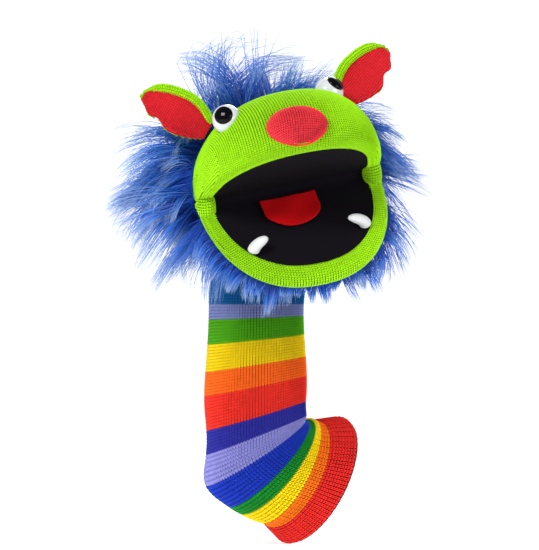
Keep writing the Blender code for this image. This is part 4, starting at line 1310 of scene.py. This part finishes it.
def ear_panel(name, matrix, rolled, scalloped, low, high, margin, thick, lift):
    """A padded panel between the ear's two edges."""
    share = np.linspace(0, 1, 19)
    rows = []
    for y in np.linspace(low, high, 49):
        a, b = rolled(y), scalloped(y)
        way = math.copysign(1.0, b - a)
        a, b = a + way * margin, b - way * (0.0010 if lift < 0 else 0.0)
        if (b - a) * way < 0.0006:
            a, b = (a + b) / 2 - way * 0.0003, (a + b) / 2 + way * 0.0003
        x = a + (b - a) * share
        rows.append(np.stack([x, np.full_like(x, y), ear_cup(x, y)], axis=-1))
    middle = np.array(rows)
    puff = np.sqrt(np.clip(1 - (2 * share - 1) ** 4, 0.02, 1))[None, :]
    ends = np.clip((high - middle[..., 1]) / 0.006, 0.1, 1)
    half = thick / 2 * puff * ends
    shift = np.array((0.0, 0.0, lift))
    up = np.stack([np.zeros_like(half), np.zeros_like(half), half], axis=-1)
    return walled_mesh(name, place_by(matrix, middle + shift + up), place_by(matrix, middle + shift - up))


def make_ears():
    colours, knit = bpy.context.scene.puppet_colours, bpy.context.scene.puppet_knit
    red_yarn = yarn_material("ear_yarn", colours.ear_red)
    lime_yarn = bpy.data.materials["lime_yarn"]
    # painted shade: the panels and the roll under the ears' stitches are darker red and lime, for the shade
    # between them
    red_plain = felt_material("ear_front_knit", darker(colours.ear_red, 0.55))
    lime_plain = felt_material("ear_back_knit", darker(colours.lime, 0.55))
    for side, (_, _, sign) in EARS.items():
        matrix, body = ear_matrix(side), side + "_ear"
        rolled, scalloped = ear_edges(sign)
        edges = (matrix, rolled, scalloped)
        back = add_piece(side + "_ear_back_panel", ear_panel(
            side + "_ear_back_panel", *edges, 0.0, 0.0625, 0.0, 0.0022, -0.0016), lime_plain)
        front = add_piece(side + "_ear_front_panel", ear_panel(
            side + "_ear_front_panel", *edges, 0.0, 0.0600, 0.0026, 0.0024, 0.0004), red_plain)
        pieces = [back, front]
        for label, face, margin, yarn, lift, seed in (("front", 1, 0.0030, red_yarn, 0.0017, 61),
                                                      ("back", -1, 0.0012, lime_yarn, 0.0028, 62)):
            def inside(x, y, margin=margin):
                a, b = rolled(y), scalloped(y)
                low, high = np.minimum(a, b), np.maximum(a, b)
                loose = 0.0004 if face > 0 else 0.0016
                return (x > low + (margin if sign > 0 else loose)) & (
                    x < high - (loose if sign > 0 else margin)) & (y < 0.0590)
            point, along, out, wide, tall = flat_sites(
                inside, ear_cup, ((-0.0210, 0.0006), (0.0210, 0.0630)), knit.wale * 0.9, knit.course * 0.9)
            point = point + out * lift * face
            pieces.append(stitches(f"{side}_ear_{label}_stitches", place_by(matrix, point),
                                   turned_by(matrix, along), turned_by(matrix, out * face), wide, tall,
                                   point[:, 1] / 0.07, yarn, seed))
        height = np.linspace(0.0, 0.0612, 49)
        edge = rolled(height) + sign * 0.0022 * np.clip((0.064 - height) / 0.03, 0, 1)
        path = np.stack([edge, height, ear_cup(edge, height) + 0.0006], axis=1)
        girth = 0.0030 * np.clip((0.0634 - height) / 0.014, 0.15, 1) ** 0.6
        girth = girth * np.clip(height / 0.006 + 0.5, 0, 1)
        rings = place_by(matrix, tube_points(path, girth, 28))
        pieces.append(add_piece(side + "_ear_roll", capped_mesh(side + "_ear_roll", rings), lime_plain))
        cloth = Cloth(place_by(matrix, tube_points(path, girth + 0.0003, 28)), closed=True, fine=2)
        u, v, wide, tall, _ = cloth.tube_sites(0.0, 44.0, 9, knit.course)
        point, _, along, out = cloth.frame(u, v)
        centre = place_by(matrix, path)[np.round(v).astype(int)]
        if np.mean(np.sum(out * (point - centre), axis=1)) < 0:
            out = -out
        pieces.append(stitches(side + "_ear_roll_stitches", point, along, out, wide, tall, v / 60,
                               lime_yarn, 63))
        for piece in pieces:
            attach(piece, body)
        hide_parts(side + "_ear_back")
        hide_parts(side + "_ear_front")


# ---------------------------------------------------------------- mane
def strand_lines(roots, aims, droop, lengths, chance, tufts):
    """Bent lines from their roots, gathered into tufts of their own length and lean."""
    pile = bpy.context.scene.puppet_pile
    count = len(roots)
    share = np.linspace(0, 1, KNOTS)
    leaders = chance.choice(count, tufts, replace=False)
    nearest = np.empty(count, int)
    for start in range(0, count, 1000):
        gap = roots[start:start + 1000, None] - roots[leaders][None]
        nearest[start:start + 1000] = np.argmin((gap ** 2).sum(axis=2), axis=1)
    wisps = np.where(chance.uniform(size=tufts) < 0.34, chance.uniform(0.95, 1.40, tufts),
                     chance.uniform(0.42, 0.72, tufts))
    lengths = lengths * wisps[nearest] * chance.uniform(0.70, 1.06, count)
    lean = chance.normal(0.0, 0.26, (tufts, 3))[nearest]
    curl = chance.normal(0.0, 0.34, (tufts, 3))[nearest] + chance.normal(0.0, 0.14, (count, 3))
    lines = np.empty((count, KNOTS, 3))
    lines[:, 0] = roots
    for k in range(1, KNOTS):
        heading = unit(aims + lean + (droop + curl) * share[k] ** 1.3)
        lines[:, k] = lines[:, k - 1] + heading * (lengths / (KNOTS - 1))[:, None]
    pull = pile.tufting * share ** 1.2 * chance.uniform(0.35, 1.0, (count, 1))
    return lines + (lines[leaders][nearest] - lines) * pull[..., None]


def within_limits(lines, low, high):
    """Strands that would pass the limits are shortened to stay inside."""
    root = lines[:, :1]
    reach = lines - root
    with np.errstate(divide="ignore", invalid="ignore"):
        room = np.where(reach > 0, (np.array(high) - root) / reach, (np.array(low) - root) / reach)
    room = np.where(np.abs(reach) < 1e-6, 1.0, room)
    share = np.clip(np.nanmin(room, axis=(1, 2)), 0.15, 1.0)
    return root + reach * share[:, None, None]


def strand_piece(name, lines, material, chance):
    """A piece of pile from its lines."""
    count, knots = lines.shape[:2]
    first = np.arange(count)[:, None] * knots + np.arange(knots - 1)[None, :]
    edges = np.stack([first, first + 1], axis=-1).reshape(-1, 2)
    chart = bpy.data.meshes.new(name + "_chart")
    chart.from_pydata(lines.reshape(-1, 3).tolist(), edges.tolist(), [])
    share = np.broadcast_to(np.linspace(0, 1, knots)[None, :], (count, knots))
    girth = chance.uniform(0.6, 1.25, (count, 1))
    taper = girth * (1 - share ** 1.5 * 0.88)
    write_attribute(chart, "along", "FLOAT", share)
    write_attribute(chart, "taper", "FLOAT", taper)
    tone = np.broadcast_to(chance.uniform(0.01, 0.99, (count, 1)), (count, knots))
    write_attribute(chart, "strand", "FLOAT", tone)
    pile = bpy.context.scene.puppet_pile
    return grow_nodes(name, chart, TREES["strand"], {"Girth": pile.girth}, material)


def scatter(cloth, count, chance, across, along):
    """Evenly scattered places on part of a cloth."""
    u = chance.uniform(*across, count * 6)
    v = chance.uniform(*along, count * 6)
    step_u = cloth.at(u + 0.5, v) - cloth.at(u - 0.5, v)
    step_v = cloth.at(u, v + 0.05) - cloth.at(u, v - 0.05)
    area = np.linalg.norm(np.cross(step_u, step_v), axis=1)
    kept = chance.choice(len(u), count, replace=False, p=area / area.sum())
    return u[kept], v[kept]


def make_mane():
    colours, pile = bpy.context.scene.puppet_colours, bpy.context.scene.puppet_pile
    chance = np.random.default_rng(pile.seed)
    fur = fur_material()
    hood = hood_cloth()
    # painted shade: the backing under the pile is darker than the roots
    skin = felt_material("hood_cloth", darker(colours.fur_root, 0.6))
    backing = shell("hood_backing", hood, 0.0, 6.0, skin, HEAD_WALES, sunk=-0.0022,
                    wall=0.0020)
    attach(backing, "head")
    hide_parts("left_fur_hood", "right_fur_hood")
    middle = ACROSS / 2
    parts = {
        "mane_left": ((0.0, middle * 0.62), (0.0, 3.6), 0.78, 130, 0.96, 0.0),
        "mane_crown": ((middle * 0.62, middle * 1.38), (0.0, 3.2), 0.95, 120, 1.3, 0.55),
        "mane_right": ((middle * 1.38, ACROSS), (0.0, 3.6), 0.42, 90, 0.84, 0.0),
        "mane_back": ((0.0, ACROSS), (2.8, 5.9), 1.0, 170, 1.0, 0.0),
    }
    centre = np.array((-0.030, -0.060, 0.262))
    for name, (across, along, density, tufts, reach, sway) in parts.items():
        u, v = scatter(hood, round(pile.strands * density), chance, across, along)
        root, _, _, out = hood.frame(u, v)
        root = root + out * 0.0018
        radial = unit((root - centre) * np.array((1.0, 0.45, 1.0)))
        behind = np.clip(out[:, 1], 0, 1)[:, None]
        aside = np.clip(np.abs(radial[:, :1]), 0, 1)
        aims = out * (0.75 - 0.45 * behind) + radial * (0.85 - 0.5 * behind)
        aims = unit(aims + np.array((0.10 + sway * 0.7, 0.10, sway * 0.4)) + np.array((0, 0, -0.9)) * behind
                    + chance.normal(0, 0.16, aims.shape))
        droop = np.array((0.16 + sway * 0.5, 0.10, -0.30)) + np.array((0.0, 0.0, -0.75)) * aside
        droop = droop + np.array((0.0, 0.0, -0.8)) * behind
        left = np.clip(-radial[:, 0], 0, 1)
        lengths = 0.056 + 0.020 * left + 0.014 * radial[:, 2] * (1 - behind[:, 0])
        lengths = lengths * reach * (1 - 0.25 * behind[:, 0])
        lines = strand_lines(root, aims, droop, lengths, chance, tufts)
        piece = strand_piece(name, within_limits(lines, *MANE_LIMITS), fur, chance)
        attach(piece, "head")
    make_beard(fur, chance)


def make_beard(fur, chance):
    """Fur that hangs from under the chin."""
    pile = bpy.context.scene.puppet_pile
    chin = head_cloth(CHIN, JAW)
    edge = ACROSS * 0.10
    u, v = scatter(chin, pile.beard_strands, chance, (edge, ACROSS - edge), (3.9, 8.6))
    root, _, _, out = chin.frame(u, v)
    forward = np.array(HEAD.to_3x3() @ Vector((0, -1, 0)))
    side = (u / ACROSS - 0.5)[:, None] * 2
    aims = unit(out * 0.8 + side * np.array((0.4, 0, 0)) + np.array((0, 0, -0.35))
                + chance.normal(0, 0.18, root.shape))
    droop = np.array((0.0, 0.0, -1.0)) + forward * 0.05
    lengths = 0.016 + 0.062 * np.abs(side[:, 0]) ** 1.4
    lines = strand_lines(root + out * 0.0008, aims, droop, lengths, chance, tufts=110)
    piece = strand_piece("beard_pile", within_limits(lines, *MANE_LIMITS), fur, chance)
    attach(piece, "jaw")
    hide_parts("beard")


# ---------------------------------------------------------------- stuffing
def make_stuffing():
    """Fibre filling, lumpy inside its covers."""
    batting = batting_material()
    for node, body, fill in (("face_padding", "head", 0.8), ("jaw_padding", "jaw", 0.6)):
        copy = new_object(node + "_work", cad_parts[node].data.copy())
        remesh = copy.modifiers.new("fibres", "REMESH")
        remesh.mode, remesh.voxel_size = "VOXEL", 0.0016
        smooth = copy.modifiers.new("settle", "SMOOTH")
        smooth.factor, smooth.iterations = 0.5, 4
        graph = bpy.context.evaluated_depsgraph_get()
        mesh = bpy.data.meshes.new_from_object(copy.evaluated_get(graph), depsgraph=graph)
        bpy.data.objects.remove(copy, do_unlink=True)
        for vertex in mesh.vertices:
            lump = noise.noise(vertex.co * 170.0) * 0.5 + noise.noise(vertex.co * 420.0) * 0.25
            vertex.co = vertex.co - vertex.normal * (0.0003 + 0.0005 * max(0.0, lump + 0.4))
        piece = add_piece(node + "_fill", mesh, batting)
        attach(piece, body)
        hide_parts(node)
    rings = nose_rings(0.88)
    lumps = [noise.noise(Vector(spot) * 300.0) for spot in rings.reshape(-1, 3)]
    rings = rings * (1 + 0.03 * np.array(lumps).reshape(rings.shape[:2] + (1,)))
    fill = add_piece("nose_fill", capped_mesh("nose_fill", place_by(nose_matrix(), rings)), batting)
    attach(fill, "head")
    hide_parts("nose_stuffing")


# ---------------------------------------------------------------- stage
def soft_box(name, place, aim, size, power):
    data = bpy.data.lights.new(name, "AREA")
    data.shape, data.size, data.size_y, data.energy = "RECTANGLE", size, size * 0.8, power
    lamp = new_object(name, data)
    lamp.location = place
    lamp.rotation_euler = (Vector(aim) - Vector(place)).to_track_quat("-Z", "Y").to_euler()


def make_stage():
    studio = bpy.context.scene.puppet_studio
    scene = bpy.context.scene
    floor_z = CAD_BOX[0][2] - 0.0015
    turn = np.radians(np.linspace(0, 90, 60))
    radius, flat, reach = 3.0, 4.5, 12.0
    back = np.concatenate([[-reach], flat + radius * np.sin(turn), [flat + radius]])
    rise = np.concatenate([[0.0], radius * (1 - np.cos(turn)), [reach]]) + floor_z
    x = np.linspace(-reach, reach, 3)
    grid = np.stack(np.broadcast_arrays(x[None, :], back[:, None], rise[:, None]), axis=-1)
    mesh = bpy.data.meshes.new("studio_floor")
    mesh.from_pydata(grid.reshape(-1, 3).tolist(), [], quads(*grid.shape[:2]).tolist())
    material, tree, shader = new_material("studio_paper", 0.9, 0.0)
    grain = tree.noise(tree.object_place(), 40.0)
    paper = tree.mix(grain * 0.05, (0.88, 0.88, 0.88, 1.0), (0.80, 0.80, 0.80, 1.0))
    connect(tree, shader, "Base Color", paper)
    shader.inputs["Emission Color"].default_value = (1.0, 1.0, 1.0, 1.0)
    shader.inputs["Emission Strength"].default_value = 0.60
    add_piece("studio_floor", mesh, material)
    world = bpy.data.worlds.new("studio_surround")
    world.use_nodes = True
    world.node_tree.nodes["Background"].inputs["Color"].default_value = (0.97, 0.98, 1.0, 1.0)
    world.node_tree.nodes["Background"].inputs["Strength"].default_value = studio.fill
    scene.world = world
    aim = (-0.03, -0.05, 0.17)
    soft_box("key_box", (-0.9, -1.5, 1.35), aim, 0.7, studio.key)
    soft_box("side_box", (1.3, -1.1, 0.6), aim, 0.8, studio.key * 0.35)
    soft_box("back_box", (0.2, 1.3, 1.3), aim, 0.9, studio.key * 0.5)
    lens = bpy.data.cameras.new("studio_camera")
    camera = new_object("studio_camera", lens)
    camera.location = (-0.0382, -studio.distance, 0.1743)
    camera.rotation_euler = (math.radians(90), 0.0, 0.0)
    view_height = 0.4675
    lens.lens = lens.sensor_width * studio.distance / view_height
    lens.clip_start, lens.clip_end = 0.05, 50.0
    scene.camera = camera
    scene.view_settings.view_transform = "Standard"


# ---------------------------------------------------------------- add-on
class PUPPET_OT_stage(bpy.types.Operator):
    """Set up the pale floor, the soft boxes and the camera"""
    bl_idname = "puppet.stage"
    bl_label = "Studio"

    def execute(self, context):
        make_stage()
        return {"FINISHED"}


class PUPPET_OT_sleeve(bpy.types.Operator):
    """Knit the striped sleeve and its doubled cuff"""
    bl_idname = "puppet.sleeve"
    bl_label = "Sleeve"

    def execute(self, context):
        make_sleeve()
        return {"FINISHED"}


class PUPPET_OT_head(bpy.types.Operator):
    """Knit the face, the chin, the throat and the corners of the mouth"""
    bl_idname = "puppet.head"
    bl_label = "Head"

    def execute(self, context):
        make_head()
        return {"FINISHED"}


class PUPPET_OT_mouth(bpy.types.Operator):
    """Line the mouth and add its pockets, boards, tongue and teeth"""
    bl_idname = "puppet.mouth"
    bl_label = "Mouth"

    def execute(self, context):
        make_mouth()
        return {"FINISHED"}


class PUPPET_OT_nose(bpy.types.Operator):
    """Knit the stuffed nose"""
    bl_idname = "puppet.nose"
    bl_label = "Nose"

    def execute(self, context):
        make_nose()
        return {"FINISHED"}


class PUPPET_OT_eyes(bpy.types.Operator):
    """Mould the two domed eyes with their pupils and washers"""
    bl_idname = "puppet.eyes"
    bl_label = "Eyes"

    def execute(self, context):
        make_eyes()
        return {"FINISHED"}


class PUPPET_OT_ears(bpy.types.Operator):
    """Knit both ears with their rolled edges"""
    bl_idname = "puppet.ears"
    bl_label = "Ears"

    def execute(self, context):
        make_ears()
        return {"FINISHED"}


class PUPPET_OT_mane(bpy.types.Operator):
    """Grow the mane on the hood and the beard under the chin"""
    bl_idname = "puppet.mane"
    bl_label = "Mane"

    def execute(self, context):
        make_mane()
        return {"FINISHED"}


class PUPPET_OT_stuffing(bpy.types.Operator):
    """Fill the face, the jaw and the nose"""
    bl_idname = "puppet.stuffing"
    bl_label = "Stuffing"

    def execute(self, context):
        make_stuffing()
        return {"FINISHED"}


OPERATORS = (PUPPET_OT_stage, PUPPET_OT_sleeve, PUPPET_OT_head, PUPPET_OT_mouth, PUPPET_OT_nose,
             PUPPET_OT_eyes, PUPPET_OT_ears, PUPPET_OT_mane, PUPPET_OT_stuffing)
SETTINGS = {"puppet_colours": PuppetColours, "puppet_knit": PuppetKnit, "puppet_pile": PuppetPile,
            "puppet_studio": PuppetStudio}


class PUPPET_PT_pieces(bpy.types.Panel):
    """Lists the settings and the pieces of the puppet"""
    bl_label = "Sock puppet"
    bl_idname = "PUPPET_PT_pieces"
    bl_space_type = "VIEW_3D"
    bl_region_type = "UI"
    bl_category = "Puppet"

    def draw(self, context):
        for name, kind in SETTINGS.items():
            for field in kind.__annotations__:
                self.layout.prop(getattr(context.scene, name), field)
        for operator in OPERATORS:
            self.layout.operator(operator.bl_idname)


def register():
    for kind in (*SETTINGS.values(), *OPERATORS, PUPPET_PT_pieces):
        bpy.utils.register_class(kind)
    for name, kind in SETTINGS.items():
        setattr(bpy.types.Scene, name, PointerProperty(type=kind))
    TREES["stitch"], TREES["strand"] = stitch_tree(), strand_tree()


def unregister():
    for name in SETTINGS:
        delattr(bpy.types.Scene, name)
    for kind in (PUPPET_PT_pieces, *reversed(OPERATORS), *reversed(list(SETTINGS.values()))):
        bpy.utils.unregister_class(kind)


def main():
    register()
    for operator in OPERATORS:
        group, action = operator.bl_idname.split(".")
        getattr(getattr(bpy.ops, group), action)()


if __name__ == "__main__":
    main()
